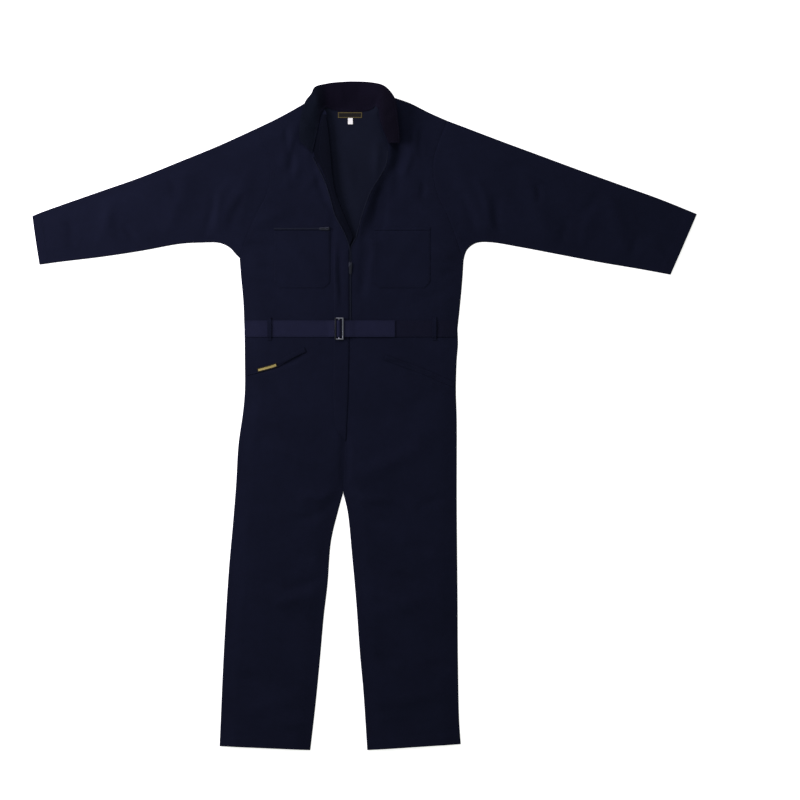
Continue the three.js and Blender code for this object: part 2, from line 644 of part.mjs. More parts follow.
function buildFrontOpening() {
  const facing = patch(
    straight(FACING_INNER.at(-1), FACING_OUTER.at(-1), FACING_ACROSS),
    straight(FACING_INNER[0], FACING_OUTER[0], FACING_ACROSS),
    reversed(cut(FACING_INNER, FACING_STEPS)),
    reversed(cut(FACING_OUTER, FACING_STEPS)),
  );
  addPiece('front_facing_wearer_right', clothOver(facing, LAID_GAP, CLOTH), NAVY_INSIDE);

  const placket = patch(
    straight(PLACKET_OUTER.at(-1), PLACKET_INNER.at(-1), PLACKET_ACROSS),
    straight(PLACKET_OUTER[0], PLACKET_INNER[0], PLACKET_ACROSS),
    reversed(cut(PLACKET_OUTER, PLACKET_STEPS)),
    reversed(cut(PLACKET_INNER, PLACKET_STEPS)),
  );
  addPiece('front_placket', clothOver(placket, LAID_GAP, CLOTH), NAVY);

  const half = TAPE_WIDTH / 2;
  const tapeRight = strip(cut(TAPE_RIGHT, TAPE_STEPS), -half, half);
  const { high, low } = TAPE_DROP;
  const drop = (y) => THREE.MathUtils.mapLinear(
    THREE.MathUtils.clamp(y, low, high), low, high, -TAPE_THICKNESS, LAID_GAP,
  );
  addPiece('zip_tape_open_wearer_right', clothOver(tapeRight, drop, TAPE_THICKNESS), TAPE_NAVY);
  const closedLeft = [[CLOSED_EDGE_LEFT_X, TIP_Y - TIP_DROP], [CLOSED_EDGE_LEFT_X, SLIDER_Y + SLIDER_HOLD]];
  const tapeLeft = strip([...frontEdgeLeft.slice(TAPE_LEFT_FIRST), ...closedLeft], -SEAM, -SEAM - TAPE_WIDTH);
  addPiece('zip_tape_open_wearer_left', clothOver(tapeLeft, -TAPE_THICKNESS, TAPE_THICKNESS), TAPE_NAVY);

  const middleX = (CLOSED_EDGE_RIGHT_X + CLOSED_EDGE_LEFT_X) / 2;
  const chain = straight([middleX, WAIST_Y], [middleX, SLIDER_Y - SLIDER_HOLD], CHAIN_STEPS);
  const closed = strip(chain, -CHAIN_WIDTH / 2, CHAIN_WIDTH / 2);
  addPiece('zip_chain_closed', clothOver(closed, -TAPE_THICKNESS, TAPE_THICKNESS), TAPE_NAVY);
}

// A slider with an arch, and a pull whose eye bar turns under it. The pull lies towards -Y.

function sliderGeometry(throughChain) {
  const { length, width, plate, lowerPlate, post, archWidth, archLength, archWall, archRoom } = SLIDER;
  const legHeight = archRoom + archWall + plate / 2;
  const legY = archLength / 2 - archWall / 2;
  const legZ = (plate + legHeight) / 2;
  const top = [
    block(width, length, plate, 0, 0, plate / 2),
    block(archWidth, archWall, legHeight, 0, -legY, legZ),
    block(archWidth, archWall, legHeight, 0, legY, legZ),
    block(archWidth, archLength, archWall, 0, 0, plate + archRoom + archWall / 2),
  ];
  if (!throughChain) return united(...top);
  const through = 2 * LAID_GAP + TAPE_THICKNESS;
  return united(
    ...top,
    block(post, post, through + plate / 2 + lowerPlate / 2, 0, 0, (plate - lowerPlate) / 4 - through / 2),
    block(width, length, lowerPlate, 0, 0, -through - lowerPlate / 2),
  );
}

function pullGeometry(length) {
  const { width, thickness, barRadius, eyeLength, eyeWidth } = PULL;
  const plate = new THREE.Shape();
  const half = width / 2;
  const end = -length;
  plate.moveTo(-half, 0);
  plate.lineTo(-half, end + half);
  plate.absarc(0, end + half, half, Math.PI, 2 * Math.PI, false);
  plate.lineTo(half, 0);
  const eye = new THREE.Path();
  eye.moveTo(-eyeWidth / 2, -barRadius * 0.6);
  eye.lineTo(eyeWidth / 2, -barRadius * 0.6);
  eye.lineTo(eyeWidth / 2, -eyeLength);
  eye.lineTo(-eyeWidth / 2, -eyeLength);
  plate.holes.push(eye);
  const body = new THREE.ExtrudeGeometry(plate, { depth: thickness, bevelEnabled: false, curveSegments: 8 });
  body.translate(0, 0, -thickness / 2);
  const bar = new THREE.CylinderGeometry(barRadius, barRadius, width, 12);
  bar.rotateZ(Math.PI / 2);
  return united(body, bar);
}

function buildZipPull(prefix, position, heading, length, throughChain) {
  const place = new THREE.Group();
  place.position.set(...position);
  place.rotation.z = heading;
  suit.add(place);
  addPiece(`${prefix}_slider`, sliderGeometry(throughChain), STEEL, place);
  const pull = addPiece(`${prefix}_pull_tab`, pullGeometry(length), STEEL, place);
  pull.position.z = SLIDER.plate + SLIDER.archRoom / 2;
  pull.rotation.x = THREE.MathUtils.degToRad(PULL.droop);
}

// Pockets

function pocketGrid(sign) {
  const { inner, outer, low, high, corner } = POCKET;
  const bottom = straight([sign * (outer - corner), low], [sign * (inner + corner), low], POCKET_ACROSS);
  const heights = straight([0, low + corner], [0, high], POCKET_ACROSS).map(([, y]) => y);
  return [bottom, ...heights.map((y) => straight([sign * outer, y], [sign * inner, y], POCKET_ACROSS))];
}

function buildPockets() {
  for (const [side, sign] of [['wearer_right', -1], ['wearer_left', 1]]) {
    addPiece(`chest_pocket_${side}`, clothOver(pocketGrid(sign), LAID_GAP, CLOTH), NAVY);
    const { low, high, thickness } = POCKET_ZIP;
    const { inner, outer } = POCKET;
    const grid = [low, high].map((y) => straight([sign * outer, y], [sign * inner, y], ZIP_ACROSS));
    const name = sign < 0 ? 'chest_pocket_zip_wearer_right' : 'chest_pocket_welt_wearer_left';
    addPiece(name, clothOver(grid, LAID_GAP, thickness), sign < 0 ? TAPE_NAVY : NAVY);
  }
  const openings = [['wearer_right', SIDE_POCKET_RIGHT, -1], ['wearer_left', SIDE_POCKET_LEFT, 1]];
  for (const [side, line, sign] of openings) {
    const welt = strip(cut(line, WELT.steps), 0, sign * WELT.width);
    addPiece(`side_pocket_welt_${side}`, clothOver(welt, LAID_GAP, WELT.thickness), NAVY);
  }
  const opening = cut(SIDE_POCKET_RIGHT, TAB.steps).slice(TAB.first, TAB.last + 1);
  const tab = strip(opening, -TAB.inset, -TAB.inset - TAB.width);
  addPiece('side_pocket_tab', clothOver(tab, 2 * LAID_GAP + WELT.thickness, TAB.thickness), GOLD);
}

// Belt, buckle and loops

function beltUnderside(x) {
  const heights = [-1, 0, 1].map((k) => frontTop(x, WAIST_Y + (k * BELT.width) / 2));
  const up = THREE.MathUtils.smoothstep(x, OVER_PLACKET.from, OVER_PLACKET.up);
  const down = THREE.MathUtils.smoothstep(x, OVER_PLACKET.down, OVER_PLACKET.to);
  return Math.max(...heights) + LAID_GAP + up * (1 - down) * (CLOTH + GAP);
}

function buildBelt() {
  const half = BELT.thickness / 2;
  const { x: buckleX, z: barZ } = BUCKLE;
  const sideBar = BUCKLE.width / 2 - BUCKLE.bar / 2;
  const underBar = barZ - BUCKLE.bar / 2 - GAP - half;
  const middle = (x, extra = 0) => [x, beltUnderside(x) + half + extra];
  const spread = (from, to, count) => straight([from, 0], [to, 0], count).map(([value]) => value);

  // The left strap lies flat and hooks round the centre bar
  const hook = half + GAP + BUCKLE.centreBar / 2;
  const hookLine = spread(HOOK.from, HOOK.to, HOOK.steps).map((degrees) => {
    const turn = THREE.MathUtils.degToRad(degrees);
    return [buckleX + hook * Math.cos(turn), barZ + hook * Math.sin(turn)];
  });
  const lowerX = [...spread(BELT.endLeft, 215, 4), ...spread(200, 20, 6), 10, 0, -8, -16, -24.5];
  const left = [...lowerX.map((x) => middle(x)), ...hookLine];
  addPiece('belt_strap_wearer_left', strapAlongX(left, BELT.thickness, WAIST_Y, BELT.width), NAVY);

  // The right strap goes under the near bar, over the centre bar, under the far bar, and ends as a tail
  const top = barZ + BUCKLE.centreBar / 2 + GAP + BELT.thickness + GAP + half;
  const right = [
    ...spread(BELT.endRight, -215, 4).map((x) => middle(x)),
    ...spread(-200, -60, 6).map((x) => middle(x)),
    ...THREADING.map(({ x, rise }) => [buckleX + x, underBar + rise * (top - underBar)]),
    ...[-8, 0, 10, ...spread(20, buckleX + BELT.tail, 4)].map((x) => middle(x, BELT.thickness + TAIL_GAP)),
  ];
  addPiece('belt_strap_wearer_right', strapAlongX(right, BELT.thickness, WAIST_Y, BELT.width), NAVY);

  const { length, width, bar, centreBar } = BUCKLE;
  const frame = united(
    block(bar, length, bar, -sideBar, 0, 0),
    block(bar, length, bar, sideBar, 0, 0),
    block(width, bar, bar, 0, length / 2 - bar / 2, 0),
    block(width, bar, bar, 0, bar / 2 - length / 2, 0),
    new THREE.CylinderGeometry(centreBar / 2, centreBar / 2, length - bar, 12),
  );
  frame.translate(buckleX, WAIST_Y, barZ);
  addPiece('belt_buckle', frame, STEEL);

  for (const [side, x] of [['wearer_right', -LOOP.x], ['wearer_left', LOOP.x]]) {
    const low = frontTop(x, WAIST_Y) + LAID_GAP + LOOP.thickness / 2;
    const high = beltUnderside(x) + BELT.thickness + LAID_GAP + LOOP.thickness / 2;
    const reach = LOOP.height / 2;
    const edge = BELT.width / 2;
    const arch = [
      [edge + LOOP.foot, low], [edge + LOOP.bend, (low + high) / 2], [edge - LOOP.turn, high + LOOP.slack],
    ];
    const line = [
      [-reach, low], ...arch.map(([y, z]) => [-y, z]), ...reversed(arch), [reach, low],
    ];
    const geometry = strapAlongY(line, LOOP.thickness, x, LOOP.width);
    geometry.translate(0, WAIST_Y, 0);
    addPiece(`belt_loop_${side}`, geometry, NAVY);
  }
}

// Labels

function buildLabels() {
  const rectangle = ({ x0, x1, y0, y1 }) => [[x0, y0], [x1, y0], [x1, y1], [x0, y1]];
  const low = CLOTH + GAP;
  addPiece('neck_label', slab(rectangle(LABEL), low, low + LABEL.thickness), LABEL_BLACK);
  addPiece('size_tab', slab(rectangle(SIZE_TAB), low, low + SIZE_TAB.thickness), WHITE);
}

buildBodice();
buildSleeve('sleeve_wearer_right', armholeRight, overarmRight, underarmRight);
buildSleeve('sleeve_wearer_left', armholeLeft, overarmLeft, underarmLeft);
buildTrousers();
buildCollar();
buildFrontOpening();
const zipX = (CLOSED_EDGE_RIGHT_X + CLOSED_EDGE_LEFT_X) / 2;
const zipBase = frontTop(zipX, SLIDER_Y) + LAID_GAP;
buildZipPull('zip', [zipX, SLIDER_Y, zipBase], 0, MAIN_PULL_LENGTH, true);
const pocketZipY = (POCKET_ZIP.low + POCKET_ZIP.high) / 2;
const pocketZipBase = frontTop(POCKET_ZIP.sliderX, pocketZipY) + LAID_GAP + POCKET_ZIP.thickness + GAP;
const pocketSliderPlace = [POCKET_ZIP.sliderX, pocketZipY, pocketZipBase];
buildZipPull('chest_pocket', pocketSliderPlace, -Math.PI / 2, POCKET_PULL_LENGTH, false);
buildPockets();
buildBelt();
buildLabels();

// The middle of the suit's outline and the surface under it become the origin
suit.updateMatrixWorld(true);
const box = new THREE.Box3().setFromObject(suit);
suit.position.set(-(box.min.x + box.max.x) / 2, -(box.min.y + box.max.y) / 2, -box.min.z);

export default suit;
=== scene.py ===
"""A boiler suit laid out flat, front up: its cloth, zip, belt and trims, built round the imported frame."""

import math

import bmesh
import bpy
import numpy as np
from bpy.props import FloatProperty, FloatVectorProperty, PointerProperty
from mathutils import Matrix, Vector


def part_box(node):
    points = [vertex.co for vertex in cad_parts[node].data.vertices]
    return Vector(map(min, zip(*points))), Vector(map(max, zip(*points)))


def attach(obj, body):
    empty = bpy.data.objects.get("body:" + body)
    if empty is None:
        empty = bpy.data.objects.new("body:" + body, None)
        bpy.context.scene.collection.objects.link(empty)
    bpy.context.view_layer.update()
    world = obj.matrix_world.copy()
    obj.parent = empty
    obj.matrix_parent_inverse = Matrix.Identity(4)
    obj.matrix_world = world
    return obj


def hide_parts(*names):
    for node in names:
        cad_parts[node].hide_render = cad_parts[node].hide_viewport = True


bl_info = {
    "name": "Boiler suit",
    "version": (1, 0, 0),
    "blender": (4, 5, 0),
    "location": "3D View > Sidebar > Boiler suit",
    "description": "Builds the cloth, zip, belt and trims of a boiler suit laid out flat",
    "category": "Add Mesh",
}

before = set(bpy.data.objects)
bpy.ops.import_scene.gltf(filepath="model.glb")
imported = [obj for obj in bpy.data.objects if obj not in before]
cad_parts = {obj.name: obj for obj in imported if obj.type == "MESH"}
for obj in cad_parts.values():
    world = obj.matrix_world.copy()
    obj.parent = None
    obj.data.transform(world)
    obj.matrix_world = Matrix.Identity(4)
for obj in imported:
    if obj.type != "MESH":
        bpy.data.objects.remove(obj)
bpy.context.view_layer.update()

# Sizes of the drawing, in millimetres. X runs to the wearer's left, Y to the collar, Z up.
MM = 0.001
WAIST_Y = 218
BUCKLE_X = -32
SUIT = "suit"

# Heights of the laid cloth
CLOTH = 1.5
GAP = 0.3
LAID_GAP = 0.5
FACING_WALL = 0.7
EDGE_HEIGHT = 2 * CLOTH + GAP
EDGE_MIDDLE = EDGE_HEIGHT / 2
LOFT = 3.0
LEAST_LOFT = 0.8
SMALL_WAVES = ((0.5, 48, 5), (0.18, 15, 6))
LOFT_REACH = 45

# Edges of the wearer's right half, columns x, y
SIDE_RIGHT = ((-269, 218), (-272, 290), (-278, 355), (-281, 395))
ARMHOLE_RIGHT = (
    (-281, 395), (-262, 450), (-240, 502), (-215, 550), (-204, 595), (-205, 640), (-220, 680), (-240, 718),
)
SHOULDER_RIGHT = ((-240, 718), (-192, 741), (-142, 768), (-108, 788))
FOLD_EDGE_RIGHT = (
    (-108, 788), (-68, 765), (-60, 715), (-55, 665), (-48, 590), (-40, 552), (-28, 520), (3, 445),
)
OVERARM_RIGHT = (
    (-240, 718), (-330, 677), (-430, 636), (-530, 596), (-630, 561), (-730, 526), (-772, 511), (-799, 500),
)
UNDERARM_RIGHT = (
    (-281, 395), (-291, 405), (-305, 420), (-330, 432), (-380, 433), (-430, 430), (-530, 412), (-630, 397),
    (-730, 385), (-781, 378),
)
LEG_OUTER_RIGHT = (
    (-269, 218), (-268, 140), (-268, 65), (-272, 15), (-284, -72), (-290, -172), (-298, -272), (-308, -385),
    (-321, -598), (-331, -825),
)
LEG_INNER_RIGHT = (
    (-22, -192), (-35, -240), (-52, -312), (-61, -422), (-70, -498), (-80, -610), (-91, -722), (-104, -835),
)

# Edges of the wearer's left half, columns x, y
SIDE_LEFT = ((264, 218), (270, 275), (276, 340), (279, 388))
ARMHOLE_LEFT = (
    (279, 388), (260, 445), (238, 502), (215, 550), (204, 595), (205, 645), (220, 692), (238, 738),
)
SHOULDER_LEFT = ((238, 738), (195, 757), (145, 782), (120, 791), (105, 796))
FRONT_EDGE_LEFT = (
    (105, 796), (71, 786), (68, 740), (80, 702), (90, 678), (88, 628), (73, 598), (50, 560), (25, 492),
    (13, 445),
)
OVERARM_LEFT = (
    (238, 738), (270, 726), (370, 688), (470, 651), (570, 614), (670, 578), (770, 542), (862, 505),
)
UNDERARM_LEFT = (
    (279, 388), (283, 405), (290, 418), (310, 432), (345, 434), (420, 422), (520, 403), (620, 384), (720, 367),
    (796, 353),
)
LEG_OUTER_LEFT = (
    (264, 218), (265, 178), (262, 140), (260, 65), (262, -10), (262, -210), (264, -460), (265, -610),
    (268, -760), (272, -820),
)
LEG_INNER_LEFT = (
    (-22, -192), (-11, -240), (0, -348), (10, -460), (20, -598), (28, -685), (38, -835),
)

# Centre line and neck
CENTRE_SEAM = ((-6, 218), (-9, 115), (-14, -10), (-19, -110), (-22, -192))
BACK_NECKLINE = ((-108, 788), (-85, 773), (-42, 764), (0, 762), (40, 764), (78, 776), (105, 796))
TIP_Y = 445
TIP_DROP = 22
CLOSED_EDGE_RIGHT_X = -8
CLOSED_EDGE_LEFT_X = 0

# The largest folds, soft ridges: x and y of one end and of the other, width, height
FOLDS = (
    (-138, 735, -176, 610, 15, 5.0),
    (-125, 640, -172, 560, 14, 3.5),
    (-262, 470, -150, 520, 18, 3.5),
    (-330, 450, -240, 640, 24, 4.0),
    (-470, 440, -400, 620, 24, 3.5),
    (-640, 410, -590, 560, 20, 3.0),
    (150, 745, 178, 620, 16, 4.5),
    (262, 470, 150, 530, 18, 3.5),
    (330, 450, 250, 650, 24, 4.0),
    (500, 425, 420, 640, 24, 3.5),
    (690, 385, 640, 570, 20, 3.0),
    (-40, -150, -220, -60, 22, 4.0),
    (-10, -160, 200, -70, 22, 4.0),
    (-80, -480, -280, -430, 26, 3.5),
    (20, -500, 240, -440, 26, 3.5),
    (-100, -700, -290, -740, 22, 2.5),
    (50, -720, 250, -690, 22, 2.5),
)
LIFT_RIGHT = {"height": 7, "reach": 24}
LIFT_LEFT = {"height": 12, "reach": 20}
LIFT_FADE = 120
OPENING_MIDDLE_X = 20

# Smaller creases: x and y of one end and of the other, bend, width, and height, below 0 for a trough
CREASES = (
    (-168, 728, -166, 628, 6, 9, -2.8),
    (-141, 692, -154, 578, -5, 9, -2.4),
    (-118, 712, -110, 640, 4, 10, 1.8),
    (-279, 428, -196, 414, 6, 9, -2.6),
    (-272, 404, -212, 378, -4, 11, 1.8),
    (-52, 520, -50, 395, 3, 8, -1.6),
    (-262, 332, -170, 304, 8, 14, -1.4),
    (-70, 640, -124, 560, 6, 12, 1.4),
    (-206, 530, -96, 484, 8, 14, -1.3),
    (-180, 452, -70, 300, 12, 18, 1.2),
    (172, 724, 180, 630, -6, 9, -2.6),
    (150, 690, 128, 590, 6, 10, 2.0),
    (176, 592, 168, 542, 3, 9, -2.2),
    (278, 372, 222, 357, 4, 9, -2.3),
    (272, 404, 198, 422, 6, 12, 1.8),
    (112, 652, 96, 520, 10, 14, -1.6),
    (64, 520, 44, 330, -8, 14, 1.6),
    (258, 322, 150, 296, 8, 14, -1.3),
    (190, 480, 80, 330, -10, 20, 1.2),
    (-300, 452, -262, 560, 10, 12, -2.6),
    (-334, 446, -304, 600, 14, 14, 2.2),
    (-372, 440, -350, 562, -10, 12, -2.0),
    (-470, 604, -424, 520, 8, 14, -1.5),
    (-520, 424, -566, 484, 6, 12, -1.8),
    (-592, 420, -612, 522, 8, 14, 1.6),
    (-690, 402, -704, 482, 6, 12, -1.4),
    (-742, 502, -704, 436, 5, 13, 1.2),
    (302, 452, 268, 562, -10, 12, -2.6),
    (338, 444, 308, 602, -14, 14, 2.2),
    (384, 436, 364, 560, 10, 12, -1.9),
    (466, 582, 462, 526, 4, 8, -2.1),
    (516, 420, 536, 500, -6, 13, -1.5),
    (574, 408, 606, 508, 8, 14, 1.6),
    (628, 572, 566, 500, 8, 14, -1.5),
    (706, 384, 722, 466, 5, 12, -1.5),
    (788, 380, 748, 452, 6, 13, 1.2),
    (-17, -40, -21, -190, 2, 10, -4.6),
    (-30, -186, -136, -204, 8, 13, 2.4),
    (-44, -222, -156, -262, 8, 14, -1.8),
    (-8, -190, 106, -212, -8, 13, 2.4),
    (0, -232, 114, -270, -8, 14, -1.8),
    (-262, 8, -88, -50, 12, 24, 1.8),
    (82, -18, 196, -76, 10, 24, 1.8),
    (-64, -402, -172, -424, 8, 12, -2.1),
    (-138, -340, -96, -362, 3, 10, -1.5),
    (-72, -446, -196, -478, -8, 14, 1.5),
    (95, -400, 164, -420, 4, 12, -1.9),
    (134, -320, 206, -338, 4, 12, -1.7),
    (22, -430, 122, -462, -6, 14, 1.5),
    (-288, -210, -178, -244, 8, 14, -1.4),
    (262, -200, 158, -238, -8, 14, -1.4),
    (-286, -655, -192, -676, 6, 14, -1.5),
    (58, -600, 122, -620, 4, 12, -1.5),
    (180, -618, 264, -642, 4, 12, -1.6),
    (107, 712, 106, 604, 6, 13, -3.8),
    (108, 640, 56, 520, -5, 14, -4.9),
    (86, 572, 54, 434, -4, 17, -4.8),
    (46, 542, 20, 450, -3, 12, 2.4),
    (37, 480, 21, 292, 5, 11, -3.6),
    (-42, 442, -40, 262, 0, 6, 1.7),
    (-28, 446, -30, 262, 0, 6, -1.2),
    (-100, 640, -28, 470, -5, 9, -2.2),
    (-108, 160, -186, 123, 3, 5, -2.6),
    (-172, 130, -268, 100, -2, 5, -2.2),
    (74, 143, 184, 103, 3, 5, -3.0),
    (170, 109, 262, 70, -2, 5, -2.4),
    (-108, -770, -206, -742, 6, 16, 1.3),
    (44, -778, 126, -748, 6, 16, 1.3),
    (-240, 96, -150, 20, 12, 18, -1.2),
    (236, 60, 130, 0, -12, 18, -1.2),
)
BELT_CALM = 42

# Creases of the collar, on its inner side
COLLAR_CREASES = (
    (-70, 830, -60, 772, 4, 9, -3.6),
    (-88, 812, -74, 770, -3, 8, 2.2),
    (-30, 832, -34, 772, 3, 11, 1.6),
    (22, 834, 20, 770, -3, 12, -1.4),
    (70, 828, 52, 778, 4, 9, -2.6),
    (-122, 742, -92, 724, 3, 8, -1.6),
    (104, 770, 80, 742, 3, 8, -1.8),
)

# Creases of the back, where it shows through the open neck
BACK_CREASES = (
    (66, 690, 62, 596, -4, 9, 3.4),
    (-28, 690, -12, 560, 6, 12, 1.3),
    (26, 720, 30, 610, 4, 11, -0.9),
    (-4, 640, 10, 520, -3, 10, 1.1),
)

# Turned-back facing of the right front, columns x, y
FACING_OUTER = (
    (-74, 752), (-82, 715), (-95, 655), (-75, 615), (-65, 590), (-52, 545), (-40, 502), (-20, 465), (-9, 439),
    (-6.8, 427),
)
FACING_INNER = (
    (-66, 752), (-60, 715), (-55, 665), (-48, 590), (-40, 552), (-28, 520), (-12, 482), (1, 450), (1, 444),
    (-4.6, 429),
)

# Collar, one row for each station from its right front end round the back of the neck: whether it lies
# on the front, the seam's x, y and z, the free edge's x, y and z, and the bulge between them
COLLAR = (
    (1, -99, 657, 1.6, -131, 686, 12, 2.5),
    (1, -93.5, 681, 1.6, -131, 707, 14, 3.0),
    (1, -88, 706, 1.6, -129, 732, 17, 3.5),
    (1, -82.5, 731, 2.0, -124, 761, 21, 4.0),
    (1, -77, 755, 3.0, -115, 785, 26, 5.0),
    (0, -64, 772.5, 10, -101, 802, 32, 6.0),
    (0, -50, 768.5, 4, -92, 819, 30, 5.0),
    (0, -34, 764.9, 1.4, -62, 829, 20, 3.5),
    (0, -14, 762.9, 1.2, -24, 834, 13, 2.5),
    (0, 8, 762.9, 1.2, 14, 835, 12, 2.5),
    (0, 32, 764.5, 1.4, 50, 832, 17, 3.5),
    (0, 49, 769, 4.5, 78, 824, 27, 5.0),
    (0, 59, 776, 11, 96, 808, 34, 6.0),
    (1, 67, 762, 1.8, 108, 788, 37, 6.0),
    (1, 70, 738, 1.8, 113, 760, 36, 5.0),
    (1, 77, 717, 1.8, 116, 730, 35, 4.0),
    (1, 85, 697, 1.8, 119, 700, 33, 3.5),
    (1, 91, 681, 1.8, 119, 679, 31, 3.0),
)
COLLAR_CLOTH = 2.0
COLLAR_CELL = 4.0
COLLAR_WIDTH = 52

# Zip
TAPE_WIDTH = 3.3
TAPE_RIGHT = (
    (-98.5, 646), (-80, 612), (-68.8, 588), (-54.5, 544.2), (-42.4, 501), (-22.1, 463.5), (-10.5, 436),
    (-6.2, 420), (-6.2, 381),
)
TAPE_DROP = {"high": 424, "low": 412}
TAPE_THICKNESS = 1.4
TAPE_LEFT_FIRST = 5 / 12
CHAIN_WIDTH = 7.2
SLIDER_Y = 378
SLIDER_HOLD = 3
TAPE_WALL = 0.6
TOOTH = {"across": 2.6, "along": 1.15, "height": 1.7, "pitch": 2.0, "round": 0.28, "rise": 0.25}

# Placket over the closed zip and the fly
PLACKET_OUTER = ((-46, 416), (-46, 150), (-46, 20), (-40, -30), (-18, -62))
PLACKET_INNER = ((-8.5, 416), (-8.5, 150), (-12, 20), (-14, -20), (-15.5, -58))

# Pockets
POCKET = {"inner": 55, "outer": 195, "low": 320, "high": 463, "corner": 14}
POCKET_REST = 0.35
POCKET_WALL = 1.0
POCKET_ZIP = {"low": 464, "high": 471, "wall": 1.2}
SIDE_POCKET_RIGHT = ((-114, 160), (-150, 143), (-186, 122), (-238, 107), (-262, 101))
SIDE_POCKET_LEFT = ((80, 140), (130, 122), (180, 104), (220, 86), (254, 72))
WELT_WIDTH = 13
TAB = {"width": 10, "inset": 1.5, "first": 20 / 40, "last": 33 / 40, "wall": 0.9}

# Belt, buckle and loops
BELT = {"width": 41, "thickness": 1.5, "tail": 140, "end_right": -266.5, "end_left": 261.5}
BUCKLE = {"bar": 3, "centre_bar": 2, "z": 13.9}
HOOK = {"from": -90, "to": -300, "steps": 16}
THREADING = (
    (-12.2, 0), (-7.1, 0), (-4.4, 0.5), (-2.2, 0.92), (0.4, 1), (2.6, 0.86), (4.6, 0.5), (7.2, 0), (11.9, 0),
)
TAIL_GAP = 0.5
OVER_PLACKET = {"from": -64, "up": -50, "down": -5, "to": 9}
LOOP = {
    "x": 206, "width": 10, "height": 58, "thickness": 1.2, "foot": 3.2, "bend": 1.4, "turn": 0.8,
    "slack": 0.3,
}

# Labels: object, node, finish and edges
LABEL_WALL = 0.8
LABELS = (
    ("label_neck", "neck_label", "label_black", (-35, 25, 745, 759)),
    ("label_size", "size_tab", "label_white", (-10, 2, 729, 744.7)),
)

# Metal pieces: object, node, finish, radius of the edges and body
METAL = (
    ("zip_slider_body", "zip_slider", "dark_steel", 0.25, SUIT),
    ("zip_pull", "zip_pull_tab", "dark_steel", 0.3, "zip_pull"),
    ("pocket_slider_body", "chest_pocket_slider", "dark_steel", 0.25, SUIT),
    ("pocket_zip_pull", "chest_pocket_pull_tab", "dark_steel", 0.3, "chest_pocket_pull"),
    ("buckle_frame", "belt_buckle", "steel", 0.7, SUIT),
)

# Rows of stitches: how far each lies from its seam or edge
ROW_LIFT = 0.05
ROWS = {
    "armhole": (2.2, 8.4), "fly": (3.0, 8.5), "placket": (3.0, 34.0), "pocket": (1.9, 7.2), "facing": 6,
    "front": 6.5, "pocket zip": 3.0, "welt": 2.0, "belt": 3.0, "collar shares": (0.90, 0.06),
}

# Threads and joined points in metres, and the rounded rim of a wall: its share of the wall, and the
# least angle of an edge that is rounded
THREAD_RADII = (0.00036, 0.00030)
JOIN_WITHIN = 0.00001
RIM_SHARE = 0.33
RIM_ANGLE = 62

# Stage: the middle of the view in the drawing, and the rest in metres
VIEW_MIDDLE = (120, 40, 0)
FLOOR = {"half_width": 60.0, "z": -0.0004}
SKY_COLOUR = (0.95, 1, 0.90, 1)
LIGHT_COLOUR = (0.93, 0.87, 1)
LIT_PLACE = (0, 0.1, 0)
LIGHTS = (
    ("key_light", (-2.3, 0.75, 1.35), 1.2, 1.06),
    ("top_light", (-0.3, 2.2, 1.9), 1.4, 0.38),
)

# Where the drawing's zero lies in the frame
buckle_low, buckle_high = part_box("belt_buckle")
ZERO = np.array([
    (buckle_low.x + buckle_high.x) / 2 / MM - BUCKLE_X,
    (buckle_low.y + buckle_high.y) / 2 / MM - WAIST_Y,
    0,
])


# Settings

def colour_of(name, description, default):
    return FloatVectorProperty(
        name=name, description=description, subtype="COLOR", size=3, default=default, min=0, max=1,
    )


def size_of(name, description, default, low, high):
    return FloatProperty(
        name=name, description=description, default=default, min=low, max=high, unit="LENGTH",
    )


def amount_of(name, description, default, high):
    return FloatProperty(name=name, description=description, default=default, min=0, max=high)


class SuitCloth(bpy.types.PropertyGroup):
    """Sizes and colours of the cloth."""

    cell: size_of("Cell", "Distance between neighbouring points of a cloth panel", 0.0052, 0.002, 0.02)
    wall: size_of("Bodice wall", "Thickness of the bodice's cloth with its turnings", 0.0015, 0.0004, 0.003)
    leg_wall: size_of("Leg wall", "Thickness of the cloth of sleeves and trousers", 0.0009, 0.0004, 0.003)
    crease: amount_of("Creases", "Strength of the smaller creases", 1.35, 3)
    twill: size_of("Twill", "Distance between two ribs of the twill", 0.0008, 0.0002, 0.005)
    navy: colour_of("Navy", "Colour of the cloth's right side", (0.0054, 0.0065, 0.0162))
    inside: colour_of("Inside", "Colour of the cloth's wrong side", (0.0063, 0.0078, 0.0165))
    collar: colour_of("Collar", "Colour of the collar's inner side", (0.0042, 0.0033, 0.0090))
    collar_end: colour_of(
        "Collar end", "Colour of the collar's end at the wearer's right", (0.0040, 0.0054, 0.0112),
    )
    # The belt's colour is lighter than the navy: partly its own cloth, partly a painted highlight where the
    # raised belt catches the light.
    belt: colour_of("Belt", "Colour of the belt's cloth", (0.0096, 0.0106, 0.0275))


class SuitTrim(bpy.types.PropertyGroup):
    """Sizes and colours of thread, zip, labels and metal."""

    stitch: size_of("Stitch", "Length of one stitch", 0.0026, 0.001, 0.008)
    stitch_gap: size_of("Stitch gap", "Gap between two stitches", 0.0009, 0.0002, 0.004)
    thread: colour_of("Thread", "Colour of the sewing thread", (0.0060, 0.0072, 0.0175))
    tape: colour_of("Zip tape", "Colour of the zip's tape", (0.0052, 0.0064, 0.0150))
    teeth: colour_of("Teeth", "Colour of the zip's teeth", (0.0100, 0.0122, 0.0225))
    steel: colour_of("Steel", "Colour of the buckle", (0.27, 0.275, 0.34))
    dark_steel: colour_of("Dark steel", "Colour of the sliders and pulls", (0.034, 0.037, 0.052))
    gold: colour_of("Gold ribbon", "Colour of the tab at the side pocket", (0.36, 0.29, 0.10))


